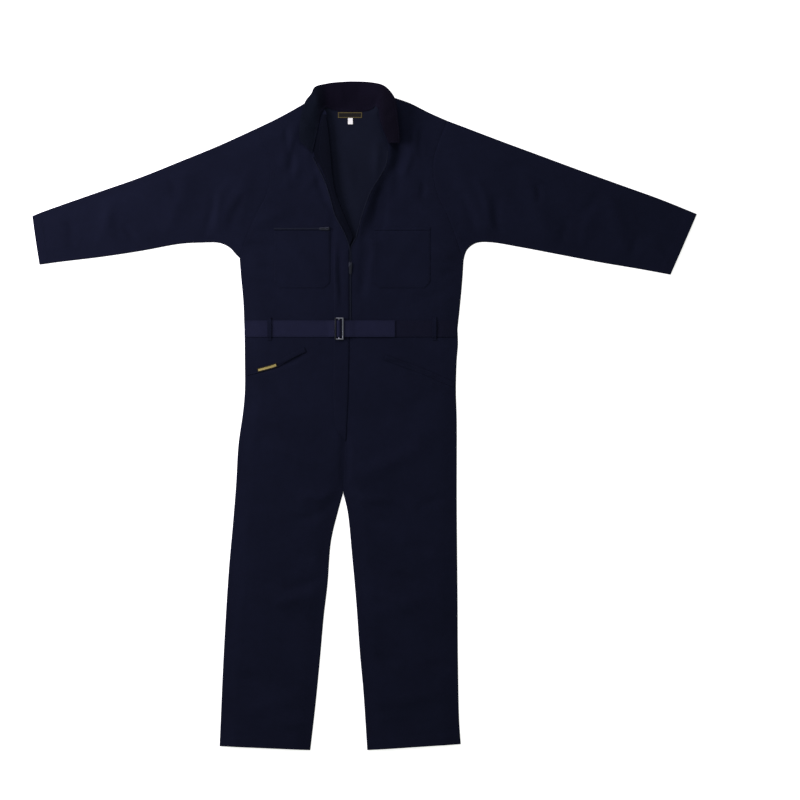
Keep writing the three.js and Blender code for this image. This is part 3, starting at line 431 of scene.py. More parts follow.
class SuitStage(bpy.types.PropertyGroup):
    """Light, floor and camera."""

    scale: size_of("Width in view", "Width of the floor that the camera sees", 2.0, 0.5, 10)
    lens: FloatProperty(
        name="Lens", description="Focal length of the camera, in millimetres", default=110, min=20, max=300,
    )
    sky: amount_of("Sky", "Strength of the even light", 0.39, 10)
    key: amount_of("Key light", "Power of the large light", 74, 2000)
    floor: amount_of("Floor", "Brightness of the floor", 0.9, 1)
    glow: amount_of("Glow", "Light that the floor gives itself", 0.7, 5)


# Lines

SPAN_POINTS = 24
DISTANCE_STEP = 8


def curve(points):
    """A dense smooth line through the points."""
    p = np.array(points, float)
    p = np.vstack([2 * p[0] - p[1], p, 2 * p[-1] - p[-2]])
    gaps = np.maximum(np.linalg.norm(np.diff(p, axis=0), axis=1) ** 0.5, 1e-4)
    t = np.linspace(0, 1, SPAN_POINTS, endpoint=False)[:, None]
    spans = []
    for k in range(1, len(p) - 2):
        before, here, there, after = p[k - 1:k + 3]
        u, v, w = gaps[k - 1:k + 2]
        leave = ((here - before) / u - (there - before) / (u + v) + (there - here) / v) * v
        reach = ((there - here) / v - (after - here) / (v + w) + (after - there) / w) * v
        square = 3 * (there - here) - 2 * leave - reach
        cube = 2 * (here - there) + leave + reach
        spans.append(here + leave * t + square * t**2 + cube * t**3)
    return np.vstack([*spans, p[-2]])


def length_of(line):
    return float(np.linalg.norm(np.diff(line, axis=0), axis=1).sum())


def along(line, shares):
    """Points at shares of a line's length."""
    line = np.asarray(line, float)
    run = np.r_[0, np.cumsum(np.linalg.norm(np.diff(line, axis=0), axis=1))]
    wanted = np.asarray(shares, float) * run[-1]
    return np.stack([np.interp(wanted, run, line[:, k]) for k in range(line.shape[1])], axis=-1)


def spaced(line, step):
    """The line again, with even steps of about this length."""
    count = max(2, round(length_of(np.asarray(line, float)) / step))
    return along(line, np.linspace(0, 1, count + 1))


def straight(start, end):
    return np.array([start, end], float)


def beside(line, distance):
    """The line moved to its left by a distance."""
    line = np.asarray(line, float)
    run = np.gradient(line[:, :2], axis=0)
    run /= np.linalg.norm(run, axis=1)[:, None]
    moved = line.copy()
    moved[:, 0] -= run[:, 1] * distance
    moved[:, 1] += run[:, 0] * distance
    return moved


def nearest(line, x, y):
    """How far each point lies from a line, and the share of the line's steps at its nearest place."""
    start, step = line[:-1], np.diff(line, axis=0)
    away_x = np.asarray(x, float)[..., None] - start[:, 0]
    away_y = np.asarray(y, float)[..., None] - start[:, 1]
    part = np.clip((away_x * step[:, 0] + away_y * step[:, 1]) / (step**2).sum(1), 0, 1)
    distance = np.hypot(away_x - part * step[:, 0], away_y - part * step[:, 1])
    best = distance.argmin(-1)[..., None]
    share = (best + np.take_along_axis(part, best, -1)) / len(start)
    return np.take_along_axis(distance, best, -1)[..., 0], share[..., 0]


def far_from(line, x, y, reach):
    """Whether all the points lie further than reach from the line's box."""
    low, high = line.min(0) - reach, line.max(0) + reach
    return bool(np.max(x) < low[0] or np.min(x) > high[0] or np.max(y) < low[1] or np.min(y) > high[1])


def smoothstep(value, low=0.0, high=1.0):
    t = np.clip((np.asarray(value, float) - low) / (high - low), 0, 1)
    return t * t * (3 - 2 * t)


def bell(distance, width):
    return np.exp(-((distance / width) ** 2))


JOINED = (
    SIDE_RIGHT, SIDE_LEFT, SHOULDER_RIGHT, SHOULDER_LEFT, OVERARM_RIGHT, OVERARM_LEFT, UNDERARM_RIGHT,
    UNDERARM_LEFT, LEG_OUTER_RIGHT, LEG_OUTER_LEFT, LEG_INNER_RIGHT, LEG_INNER_LEFT,
)
joined = [curve(edge) for edge in JOINED]
(
    side_right, side_left, shoulder_right, shoulder_left, overarm_right, overarm_left, underarm_right,
    underarm_left, leg_outer_right, leg_outer_left, leg_inner_right, leg_inner_left,
) = joined
armhole_right, armhole_left = curve(ARMHOLE_RIGHT), curve(ARMHOLE_LEFT)
fold_edge, front_edge_left = curve(FOLD_EDGE_RIGHT), curve(FRONT_EDGE_LEFT)
centre_seam, back_neckline = curve(CENTRE_SEAM), curve(BACK_NECKLINE)
joined_steps = [spaced(edge, DISTANCE_STEP) for edge in joined]
lifted_right, lifted_left = spaced(fold_edge, DISTANCE_STEP), spaced(front_edge_left, DISTANCE_STEP)


# Height of the top cloth over the floor, the same rule for every piece of the front

def edge_share(x, y):
    distance = np.full(np.shape(x), float(LOFT_REACH))
    for edge in joined_steps:
        if not far_from(edge, x, y, LOFT_REACH):
            distance = np.minimum(distance, nearest(edge, x, y)[0])
    return smoothstep(distance, 0, LOFT_REACH)


def uneven(x, y, size, seed):
    """A slow wave over the cloth, between -1 and 1, different for each seed."""
    turn = 0.9 * seed
    a = np.sin((x * math.cos(turn) + y * math.sin(turn)) / size + 2.1 * seed)
    b = np.sin((y * math.cos(turn) - x * math.sin(turn)) / (0.73 * size) + 1.4 * a + seed)
    return 0.6 * a * b + 0.4 * b


def bowed(row):
    """The line of a crease, bowed to its left by its bend."""
    start, end = np.array(row[:2], float), np.array(row[2:4], float)
    across = np.array([start[1] - end[1], end[0] - start[0]]) / np.linalg.norm(end - start)
    t = np.linspace(0, 1, 7)[:, None]
    return start + (end - start) * t + across * row[4] * 4 * t * (1 - t)


def crease_height(table, x, y):
    """Height of the listed creases, with an uneven course."""
    bent_x = x + 4.0 * uneven(x, y, 31, 1) + 1.5 * uneven(x, y, 11, 2)
    bent_y = y + 4.0 * uneven(x, y, 37, 3) + 1.5 * uneven(x, y, 13, 4)
    total = np.zeros(np.shape(x))
    for row in table:
        line, width, height = bowed(row), row[5], row[6]
        if far_from(line, x, y, 3 * width + 12):
            continue
        distance, share = nearest(line, bent_x, bent_y)
        total += height * bell(distance, width) * np.sin(math.pi * share) ** 0.7
    return total


def cloth_top(x, y):
    """Top of the front's cloth: its loft, largest folds and lifted edges, and the smaller creases."""
    x, y = np.asarray(x, float), np.asarray(y, float)
    raised = np.full(x.shape, LOFT)
    for row in FOLDS:
        line, width, height = np.array([row[:2], row[2:4]], float), row[4], row[5]
        if not far_from(line, x, y, 4 * width):
            distance, share = nearest(line, x, y)
            raised += height * bell(distance, width) * np.sin(math.pi * share)
    fade = smoothstep(y, TIP_Y, TIP_Y + LIFT_FADE)
    right = LIFT_RIGHT["height"] * bell(nearest(lifted_right, x, y)[0], LIFT_RIGHT["reach"])
    left = LIFT_LEFT["height"] * bell(nearest(lifted_left, x, y)[0], LIFT_LEFT["reach"])
    raised += fade * np.where(x < OPENING_MIDDLE_X, right, left)
    calm = smoothstep(np.abs(y - WAIST_Y), 0.5 * BELT_CALM, 2 * BELT_CALM)
    strength = bpy.context.scene.suit_cloth.crease
    fine = crease_height(CREASES, x, y)
    for height, size, seed in SMALL_WAVES:
        fine = fine + height * uneven(x, y, size, seed)
    loft = raised + strength * calm * fine
    loft = np.where(loft > LEAST_LOFT, loft, LEAST_LOFT * np.exp(np.minimum(loft / LEAST_LOFT - 1, 0)))
    return EDGE_HEIGHT + loft * edge_share(x, y)


# Grids of points

ROLL_REACH = 4.2
NECK_SEAM = {"over": 2.2, "rise": 1.4, "below": 1.3, "tuck": 2.6}
NECK_CORNERS = (-73, 71)
NECK_REACH = 26
NECK_FADE = 10
SEAM_DIP = 0.4
SEAM_REACH = 2.6
LAID_DIP = {"depth": 0.35, "reach": 2.2}
BACK_CELLS = 1.6
KNOT_FADE = 0.012
HEM = {"depth": 24, "rise": 0.5, "under": 0.02}
FINE_STEPS = (0.28, 0.9, 1.9, 3.2)


def stations(length, cell, fine=True):
    """Shares of a panel's length, closer together at both ends."""
    count = max(4, round(length / cell))
    shares = np.linspace(0, 1, count + 1)
    if not fine:
        return shares
    near = np.array([step for step in FINE_STEPS if step < 0.85 * length / count]) / length
    return np.unique(np.r_[shares, near, 1 - near])


class Edge:
    """One side of a panel: lines laid end to end, each with its share of the panel's rows."""

    def __init__(self, *lines, shares=None):
        shares = shares or [length_of(line) for line in lines]
        self.lines = lines
        self.knots = np.r_[0, np.cumsum(shares)] / sum(shares)

    def at(self, shares):
        points = np.empty((len(shares), 2))
        for line, low, high in zip(self.lines, self.knots[:-1], self.knots[1:]):
            inside = (shares >= low - 1e-9) & (shares <= high + 1e-9)
            points[inside] = along(line, np.clip((shares[inside] - low) / (high - low), 0, 1))
        return points


def patch(low, high, start, end, across, up):
    """The grid of points inside four edges or lines, rows from the low one to the high one."""
    low, high, start, end = (
        (side if isinstance(side, Edge) else Edge(side)).at(shares)
        for side, shares in ((low, across), (high, across), (start, up), (end, up))
    )
    u, v = across[None, :, None], up[:, None, None]
    ruled = (1 - v) * low + v * high + (1 - u) * start[:, None] + u * end[:, None]
    corners = (1 - v) * ((1 - u) * low[0] + u * low[-1]) + v * ((1 - u) * high[0] + u * high[-1])
    return ruled - corners


def between(first, second, across, up):
    """The grid between two lines that run the same way."""
    low, high = straight(first[0], second[0]), straight(first[-1], second[-1])
    return patch(low, high, first, second, across, up)


def from_side(grid, side):
    """Distance of each point from the end of its row or column on one side."""
    ends = {"start": grid[:, :1], "end": grid[:, -1:], "low": grid[:1], "high": grid[-1:]}
    return np.linalg.norm(grid - ends[side], axis=-1)


def column_at(grid, distance, side="start"):
    """The column of a grid that lies nearest to this distance from one side."""
    return np.argmin(np.abs(from_side(grid, side)[len(grid) // 2] - distance))


def rolled(grid, sides):
    """How far a joined edge has turned down: 1 at the edge and 0 past its reach."""
    turned = np.zeros(grid.shape[:2])
    for side, weight in sides:
        near = np.clip(1 - from_side(grid, side) / ROLL_REACH, 0, 1)
        turned = np.maximum(turned, weight * (1 - np.sqrt(np.maximum(0, 1 - near**2))))
    return turned


def dipped(grid, sides):
    """Depth of the groove along sewn sides."""
    depth = np.zeros(grid.shape[:2])
    for side, weight in sides:
        depth = np.maximum(depth, weight * SEAM_DIP * bell(from_side(grid, side), SEAM_REACH))
    return depth


def hemmed(grid, side):
    """Rise of the turned-up cloth at a hem."""
    return HEM["rise"] * (1 - smoothstep(from_side(grid, side), HEM["depth"] - 1.5, HEM["depth"] + 1.5))


def top_sheet(grid, roll=(), seam=(), hem=None):
    top = cloth_top(grid[..., 0], grid[..., 1])
    turned = rolled(grid, roll)
    if hem:
        top = top + hemmed(grid, hem)
    z = top - (top - EDGE_MIDDLE) * turned - dipped(grid, seam) * (1 - turned)
    return np.dstack([grid, z])


def under_sheet(grid, roll=(), rise=0.0):
    return np.dstack([grid, EDGE_MIDDLE * rolled(grid, roll) + rise])


# Meshes

def to_row(points):
    """Points of the drawing, in the frame and in metres."""
    return (np.asarray(points, float) + ZERO) * MM


def add_grid(bm, points, cut, up=1):
    """Adds a grid of cloth through the points. cut is each point's place in the flat piece, in metres.
    up is 1 where its outer side faces up and -1 where it faces down."""
    rows, columns = points.shape[0] - 1, points.shape[1] - 1
    layer = bm.loops.layers.uv.get("UVMap") or bm.loops.layers.uv.new("UVMap")
    verts = bmesh.ops.create_grid(bm, x_segments=columns, y_segments=rows, size=0.5)["verts"]
    placed = to_row(points)
    index = {}
    for vert in verts:
        j, i = round((vert.co.y + 0.5) * rows), round((vert.co.x + 0.5) * columns)
        index[vert] = (j, i)
        vert.co = placed[j, i]
    faces = list({face for vert in verts for face in vert.link_faces})
    for face in faces:
        for loop in face.loops:
            loop[layer].uv = cut[index[loop.vert]]
    if up:
        for face in faces:
            face.normal_update()
        if up * sum(face.normal.z * face.calc_area() for face in faces) < 0:
            bmesh.ops.reverse_faces(bm, faces=faces)
    return faces


def flat_cut(points, turn=0.0):
    """A piece's place in its cut where it lies flat, with the cloth's grain turned by an angle."""
    x, y = points[..., 0] * MM, points[..., 1] * MM
    return np.dstack([x * math.cos(turn) + y * math.sin(turn), y * math.cos(turn) - x * math.sin(turn)])


def run_cut(points):
    """A strip's place in its cut: the run along its rows and the distance across them."""
    down = np.linalg.norm(np.diff(points, axis=0), axis=-1).mean(1)
    side = np.linalg.norm(np.diff(points, axis=1), axis=-1).mean(0)
    v, u = np.r_[0, np.cumsum(down)], np.r_[0, np.cumsum(side)]
    return np.dstack(np.meshgrid(u, v)) * MM


def linked(name, data):
    made = bpy.data.objects.new(name, data)
    bpy.context.scene.collection.objects.link(made)
    return made


def mesh_from(name, bm):
    for face in bm.faces:
        face.smooth = True
    mesh = bpy.data.meshes.new(name)
    bm.to_mesh(mesh)
    bm.free()
    return mesh


def new_object(name, bm, material):
    mesh = mesh_from(name, bm)
    mesh.materials.append(material)
    return linked(name, mesh)


def thicken(piece, wall, offset):
    """Gives a sheet its wall and rounds the wall's rim."""
    solidify = piece.modifiers.new("wall", "SOLIDIFY")
    solidify.thickness = wall
    solidify.offset = offset
    solidify.use_even_offset = True
    bevel = piece.modifiers.new("rim", "BEVEL")
    bevel.width = RIM_SHARE * wall
    bevel.segments = 2
    bevel.limit_method = "ANGLE"
    bevel.angle_limit = math.radians(RIM_ANGLE)


def fit(piece, slot, *nodes, body=SUIT):
    """Ties a finished piece to its body and hides the nodes that it stands for. The slot is not used."""
    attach(piece, body)
    if nodes:
        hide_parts(*nodes)
    return piece


def cloth_piece(name, node, slot, grids, wall, offset=-1.0, finish=None):
    """A piece of cloth from its grids of points, each with its cut and the way that its outer side faces."""
    bm = bmesh.new()
    for points, cut, up in grids:
        add_grid(bm, points, cut, up)
    if len(grids) > 1:
        bmesh.ops.remove_doubles(bm, verts=bm.verts, dist=JOIN_WITHIN)
    piece = new_object(name, bm, finish_of(finish or slot))
    thicken(piece, wall, offset)
    return fit(piece, slot, node)


# Materials

class Link:
    """An output of a node. The operators on it add Math nodes."""

    def __init__(self, shader, socket):
        self.shader, self.socket = shader, socket

    def math(self, operation, *values):
        return self.shader.node("Math", dict(enumerate(values)), operation=operation)

    def __add__(self, other):
        return self.math("ADD", self, other)

    __radd__ = __add__

    def __mul__(self, other):
        return self.math("MULTIPLY", self, other)

    __rmul__ = __mul__

    def __sub__(self, other):
        return self.math("SUBTRACT", self, other)

    def __rsub__(self, other):
        return self.math("SUBTRACT", other, self)

    def sine(self):
        return self.math("SINE", self)

    def above(self, value):
        return self.math("GREATER_THAN", self, value)


class Shader:
    """One material and its nodes."""

    def __init__(self, name):
        self.material = bpy.data.materials.new(name)
        self.material.use_nodes = True
        self.tree = self.material.node_tree
        self.tree.nodes.clear()

    def node(self, kind, sockets=None, out=0, **settings):
        """Adds a node: first its settings, then the values or links of its sockets."""
        made = self.tree.nodes.new("ShaderNode" + kind)
        for key, value in settings.items():
            setattr(made, key, value)
        for key, value in (sockets or {}).items():
            if isinstance(value, Link):
                self.tree.links.new(value.socket, made.inputs[key])
            else:
                made.inputs[key].default_value = value
        return None if out is None else Link(self, made.outputs[out])

    def place(self):
        """The point on the piece, in metres."""
        return self.node("TexCoord", out="Object")

    def cut(self):
        """The point in the flat cut, in metres, and its two coordinates."""
        place = self.node("UVMap", uv_map="UVMap")
        u = self.node("SeparateXYZ", {0: place})
        return place, u, Link(self, u.socket.node.outputs[1])

    def noise(self, vector, scale, detail=2.0, roughness=0.5):
        return self.node(
            "TexNoise", {"Vector": vector, "Scale": scale, "Detail": detail, "Roughness": roughness},
        )

    def spread(self, value, low, high, most=1.0):
        """The value's way from low to high, as a number from 0 to most."""
        return self.node("MapRange", {0: value, 1: low, 2: high, 3: 0.0, 4: most})

    def mix(self, factor, a, b):
        """Colour a where the factor is 0 and b where it is 1."""
        return self.node("Mix", {0: factor, 6: a, 7: b}, out=2, data_type="RGBA")

    def shades(self, factor, colour, dark, light):
        """A colour that is darker where the factor is 0 and lighter where it is 1."""
        return self.mix(factor, shade(colour, dark), shade(colour, light))

    def finish(self, colour, roughness, height=None, bump=(0.5, 0.0001), **constants):
        """Adds the surface. Constants are set on its own sockets."""
        sockets = {"Base Color": colour, "Roughness": roughness}
        sockets |= {key.replace("_", " "): value for key, value in constants.items()}
        if height is not None:
            sockets["Normal"] = self.node(
                "Bump", {"Strength": bump[0], "Distance": bump[1], "Height": height},
            )
        self.node("OutputMaterial", {"Surface": self.node("BsdfPrincipled", sockets)}, out=None)
        return self.material


def shade(colour, factor):
    return (*[channel * factor for channel in colour], 1)


def twill(name, colour, rib=1.0, steep=62, gloss=0.035, zones=()):
    """Dark cotton twill: slanting ribs, crossing yarns, loose fibres, and a slightly uneven dye."""
    shader = Shader(name)
    place, u, v = shader.cut()
    broad = shader.noise(place, 9.0, 3.0)
    cloudy = shader.noise(place, 60.0, 4.0, 0.6)
    fibre = shader.noise(place, 2600.0, 3.0, 0.65)
    lint = shader.noise(place, 420.0, 5.0, 0.75)
    yarn = 2 * math.pi / bpy.context.scene.suit_cloth.twill
    angle = math.radians(steep)
    waver = (cloudy - 0.5) * 2.2 + (fibre - 0.5) * 1.6
    ribs = (u * (yarn * math.sin(angle)) + v * (-yarn * math.cos(angle)) + waver).sine() * 0.5 + 0.5
    wefts = (v * (2.1 * yarn) + (fibre - 0.5) * 2.0).sine() * 0.5 + 0.5
    warps = (u * (2.4 * yarn) + (fibre - 0.5) * 2.0).sine() * 0.5 + 0.5
    weave = ribs * (0.62 * rib) + wefts * warps * 0.26 + fibre * 0.3
    dye = shader.spread(weave * 0.55 + broad * 0.5 + cloudy * 0.35, 0.35, 1.25)
    specks = shader.spread(lint, 0.69, 0.82, 0.30)
    colours = shader.shades(dye, colour, 0.66, 1.36)
    colours = shader.mix(specks, colours, shade([c + 0.002 for c in colour], 1.7))
    # Zones along X that take another colour: a tone of the cloth of its own, or a darker copy of it as painted
    # shade.
    for low, high, other in zones:
        part = shader.spread(shader.node("SeparateXYZ", {0: shader.place()}), low, high)
        colours = shader.mix(part, colours, shader.shades(dye, other, 0.7, 1.3))
    rough = cloudy * 0.12 + fibre * 0.12 + 0.74
    return shader.finish(colours, rough, weave, (0.55, 0.00022), Specular_IOR_Level=gloss)


def ribbon(name, colour, edge_colour=None, border=0.0, gloss=0.08):
    """Woven ribbon or tape with fine ribs, and a woven border where one is asked for."""
    shader = Shader(name)
    place, u, v = shader.cut()
    fibre = shader.noise(place, 3000.0, 3.0, 0.6)
    weave = (u * 9000.0 + fibre).sine() * (v * 7000.0 + fibre).sine() * 0.5 + 0.5
    colours = shader.shades(weave * 0.6 + fibre * 0.4, colour, 0.7, 1.25)
    if edge_colour:
        rim = shader.node("Attribute", out=2, attribute_name="rim")
        colours = shader.mix(rim.above(border), colours, shade(edge_colour, 1.0))
    return shader.finish(colours, fibre * 0.2 + 0.55, weave, (0.5, 0.00012), Specular_IOR_Level=gloss)


def metal(name, colour, roughness=0.24, dulled=None):
    """Brushed plated steel with faint scratches and duller patches, and painted shade that darkens it before a
    place along X.
    """
    shader = Shader(name)
    place = shader.place()
    stretched = shader.node("Mapping", {"Vector": place, "Scale": (1.0, 0.06, 1.0)})
    brush = shader.noise(stretched, 9000.0, 3.0, 0.6)
    dull = shader.noise(place, 260.0, 4.0, 0.6)
    colours = shader.shades(dull, colour, 0.82, 1.12)
    # Painted shade: the metal before the place along X is darkened to 0.10 to 0.17 of its colour.
    if dulled:
        part = shader.spread(shader.node("SeparateXYZ", {0: place}), *dulled)
        colours = shader.mix(part, shader.shades(dull, colour, 0.10, 0.17), colours)
    rough = brush * 0.16 + dull * 0.16 + (roughness - 0.12)
    return shader.finish(colours, rough, brush * 0.5 + dull, (0.25, 0.00006), Metallic=1.0)


def moulded(name, colour):
    """Moulded teeth with a slight shine."""
    shader = Shader(name)
    grain = shader.noise(shader.place(), 1500.0, 3.0, 0.6)
    colours = shader.shades(grain, colour, 0.75, 1.3)
    return shader.finish(colours, grain * 0.2 + 0.4, grain, (0.2, 0.00005), Specular_IOR_Level=0.035)


def thread(name, colour):
    """Dull sewing thread."""
    shader = Shader(name)
    ply = shader.noise(shader.place(), 3200.0)
    colours = shader.shades(ply, colour, 0.7, 1.4)
    return shader.finish(colours, ply * 0.2 + 0.6, ply, (0.4, 0.0001), Specular_IOR_Level=0.06)


made_materials = {}


def finish_of(slot):
    """The material of a finish, made when it is first asked for."""
    if slot not in made_materials:
        cloth, trim = bpy.context.scene.suit_cloth, bpy.context.scene.suit_trim
        # Collar zones: the end at the wearer's right in its own tone, the leaf at the wearer's left darkened
        # as painted shade.
        zones = (-0.092, -0.122, cloth.collar_end), (0.030, 0.052, shade(cloth.collar, 0.62)[:3])
        make, colour, settings = {
            "navy_twill": (twill, cloth.navy, {}),
            "navy_inside": (twill, cloth.inside, {"rib": 0.6, "steep": -62}),
            "navy_collar": (twill, cloth.collar, {"zones": zones}),
            # belt_twill has the belt colour with its painted highlight; belt_shaded is that cloth darkened to
            # 0.53 as painted shade on the strap further from the light.
            "belt_twill": (twill, cloth.belt, {"steep": 28, "gloss": 0.05}),
            "belt_shaded": (twill, shade(cloth.belt, 0.53)[:3], {"steep": 28, "gloss": 0.05}),
            # The facing is the inside cloth darkened to 0.44 as painted shade, where it lies in the open neck
            # beside the raised fold edge.
            "facing_twill": (twill, shade(cloth.inside, 0.44)[:3], {"steep": -62, "gloss": 0.02}),
            "zip_tape": (ribbon, trim.tape, {"gloss": 0.03}),
            "zip_teeth": (moulded, trim.teeth, {}),
            "thread": (thread, trim.thread, {}),
            # The buckle's part at the wearer's right is darkened as painted shade.
            "steel": (metal, trim.steel, {"dulled": (-0.0716, -0.0698)}),
            "dark_steel": (metal, trim.dark_steel, {"roughness": 0.34}),
            "gold_ribbon": (ribbon, trim.gold, {"edge_colour": (0.016, 0.013, 0.009), "border": 0.52}),
            "label_black": (
                ribbon, (0.0090, 0.0080, 0.0075), {"edge_colour": (0.075, 0.060, 0.022), "border": 0.93},
            ),
            "label_white": (ribbon, (0.80, 0.79, 0.77), {}),
        }[slot]
        made_materials[slot] = make(slot, colour, **settings)
    return made_materials[slot]


# Many small pieces

def steps_of(line, axis=0, sway=0.0):
    """The middle of each step of a line, moved to one side and the other in turn, and its heading."""
    middles = (line[:-1] + line[1:]) / 2
    middles[0::2, axis] -= sway
    middles[1::2, axis] += sway
    run = np.diff(line, axis=0)
    yaw = np.arctan2(run[:, 1], run[:, 0])
    climb = np.arctan2(run[:, 2], np.hypot(run[:, 0], run[:, 1]))
    return middles, np.stack([np.zeros(len(run)), -climb, yaw], axis=-1)


def scatter(name, template, rows, finish):
    """Puts a copy of the template's mesh at each middle of the rows, turned by its heading, as one mesh."""
    middles, headings = (np.vstack(part) for part in zip(*rows))
    points = bpy.data.meshes.new(name + "_points")
    points.from_pydata([tuple(point) for point in to_row(middles)], [], [])
    turns = points.attributes.new("heading", "FLOAT_VECTOR", "POINT")
    turns.data.foreach_set("vector", headings.astype(np.float32).ravel())
    holder, source = linked(name + "_points", points), linked(name + "_template", template)
    tree = bpy.data.node_groups.new(name, "GeometryNodeTree")
    for way in ("INPUT", "OUTPUT"):
        tree.interface.new_socket("Geometry", in_out=way, socket_type="NodeSocketGeometry")
    given, result, copy_of, heading, put, real = (
        tree.nodes.new(kind)
        for kind in (
            "NodeGroupInput", "NodeGroupOutput", "GeometryNodeObjectInfo",
            "GeometryNodeInputNamedAttribute", "GeometryNodeInstanceOnPoints",
            "GeometryNodeRealizeInstances",
        )
    )
    copy_of.inputs["Object"].default_value = source
    heading.data_type = "FLOAT_VECTOR"
    heading.inputs["Name"].default_value = "heading"
    for output, socket in (
        (given.outputs[0], put.inputs["Points"]),
        (copy_of.outputs["Geometry"], put.inputs["Instance"]),
        (heading.outputs["Attribute"], put.inputs["Rotation"]),
        (put.outputs[0], real.inputs[0]),
        (real.outputs[0], result.inputs[0]),
    ):
        tree.links.new(output, socket)
    holder.modifiers.new("copies", "NODES").node_group = tree
    graph = bpy.context.evaluated_depsgraph_get()
    mesh = bpy.data.meshes.new_from_object(holder.evaluated_get(graph))
    mesh.materials.clear()
    mesh.materials.append(finish_of(finish))
    mesh.name = name
    bpy.data.objects.remove(holder)
    bpy.data.objects.remove(source)
    bpy.data.node_groups.remove(tree)
    return linked(name, mesh)


def stitches(name, lines):
    """Rows of stitches along lines of points in millimetres, as one mesh."""
    trim = bpy.context.scene.suit_trim
    bm = bmesh.new()
    bmesh.ops.create_icosphere(bm, subdivisions=1, radius=1.0)
    bmesh.ops.scale(bm, verts=bm.verts, vec=(trim.stitch / 2, *THREAD_RADII))
    step = (trim.stitch + trim.stitch_gap) / MM
    rows = [steps_of(spaced(line, step)) for line in lines]
    fit(scatter(name, mesh_from("stitch", bm), rows, "thread"), "navy_twill")


def teeth(name, rows):
    bm = bmesh.new()
    bmesh.ops.create_cube(bm, size=1.0)
    bmesh.ops.scale(bm, verts=bm.verts, vec=[TOOTH[key] * MM for key in ("along", "across", "height")])
    bmesh.ops.bevel(
        bm, geom=bm.edges[:], offset=TOOTH["round"] * MM, segments=2, profile=0.5, affect="EDGES",
        material=-1,
    )
    fit(scatter(name, mesh_from("tooth", bm), rows, "zip_teeth"), "zip_tape")


def on_cloth(line, above=ROW_LIFT):
    """A flat line laid on the front's cloth, with this much height over it."""
    line = spaced(line, 3)[:, :2]
    return np.column_stack([line, cloth_top(line[:, 0], line[:, 1]) + above])


# Bodice

def side_weight(edge, up):
    """1 on the rows of an edge's first line and 0 past it."""
    knot = edge.knots[1]
    return (1 - smoothstep(up, knot - KNOT_FADE, knot))[:, None]


def panel(node, slot, sheets, wall, turn=0.0):
    """A piece of cloth that lies flat, from its sheets and the way that each one's outer side faces."""
    grids = [(points, flat_cut(points, turn), up) for points, up in sheets]
    return cloth_piece(f"cloth_{node}", node, slot, grids, wall)


def front_panel(side, armhole, shoulder, edge, closed_x, name):
    cloth = bpy.context.scene.suit_cloth
    tip = edge[-1]
    closed = straight((closed_x, WAIST_Y), (closed_x, tip[1] - TIP_DROP))
    waist = straight(side[0], closed[0])
    start, end = Edge(side, armhole), Edge(closed, straight(closed[1], tip), edge[::-1])
    up = stations(length_of(side) + length_of(armhole), cloth.cell / MM)
    across = stations(length_of(waist), cloth.cell / MM)
    grid = patch(waist, shoulder, start, end, across, up)
    in_armhole = side_weight(start, up)
    roll = (("start", in_armhole), ("high", 1.0))
    points = top_sheet(grid, roll, (("start", 1 - in_armhole), ("low", 1.0)))
    piece = panel(f"front_bodice_{name}", "navy_twill", [(points, 1)], cloth.wall)


def reach_collar(grid):
    """How far the back's neck edge moves to meet the collar's seam."""
    on_front, seam_x, seam_y, seam_z = spaced(curve(COLLAR), COLLAR_CELL)[:, :4].T
    seat = seam_z + on_front * (cloth_top(seam_x, seam_y) - NECK_SEAM["rise"]) - NECK_SEAM["below"]
    x = grid[..., 0]
    first, last = NECK_CORNERS
    inner = smoothstep(x, first - NECK_FADE, first) * (1 - smoothstep(x, last, last + NECK_FADE))
    near = inner * (1 - smoothstep(from_side(grid, "high"), 0, NECK_REACH)) * (np.abs(x) < 120)
    neckline = np.interp(x, back_neckline[:, 0], back_neckline[:, 1])
    top = np.interp(x, seam_x, seam_y) + NECK_SEAM["tuck"] - neckline
    rise = np.maximum(0, np.interp(x, seam_x, seat))
    return np.dstack([0 * x, near * np.maximum(0, top), near * rise])


def build_bodice():
    cloth = bpy.context.scene.suit_cloth
    cell = BACK_CELLS * cloth.cell / MM
    start, end = Edge(side_right, armhole_right), Edge(side_left, armhole_left)
    waist = straight(side_right[0], side_left[0])
    top = [shoulder_right, back_neckline, shoulder_left[::-1]]
    high = Edge(*top)
    up = stations(length_of(side_right) + length_of(armhole_right), cell)
    across = stations(length_of(waist), cell)
    grid = patch(waist, high, start, end, across, up)
    first, last = high.knots[1:3]
    off_neck = (1 - smoothstep(across, first - 0.01, first) + smoothstep(across, last, last + 0.01))[None, :]
    roll = (("start", side_weight(start, up)), ("end", side_weight(end, up)), ("high", off_neck))
    creases = crease_height(BACK_CREASES, grid[..., 0], grid[..., 1])
    rise = np.maximum(0, creases * smoothstep(from_side(grid, "high"), 2, 30))
    points = under_sheet(grid, roll, rise) + reach_collar(grid)
    piece = panel("back_bodice", "navy_inside", [(points, -1)], cloth.wall)
    front_panel(side_right, armhole_right, shoulder_right, fold_edge, CLOSED_EDGE_RIGHT_X, "wearer_right")
    front_panel(side_left, armhole_left, shoulder_left, front_edge_left, CLOSED_EDGE_LEFT_X, "wearer_left")
    stitches("stitches_armholes", [
        on_cloth(beside(spaced(armhole, 6), sign * distance))
        for armhole, sign in ((armhole_right, -1), (armhole_left, 1))
        for distance in ROWS["armhole"]
    ])


# Sleeves and trousers

def hem_rows(row):
    """Two rows of stitches along a hem, on its upper and its lower side."""
    row = row[3:-3]
    return [on_cloth(row, HEM["rise"]), np.column_stack([row, np.full(len(row), HEM["under"])])]


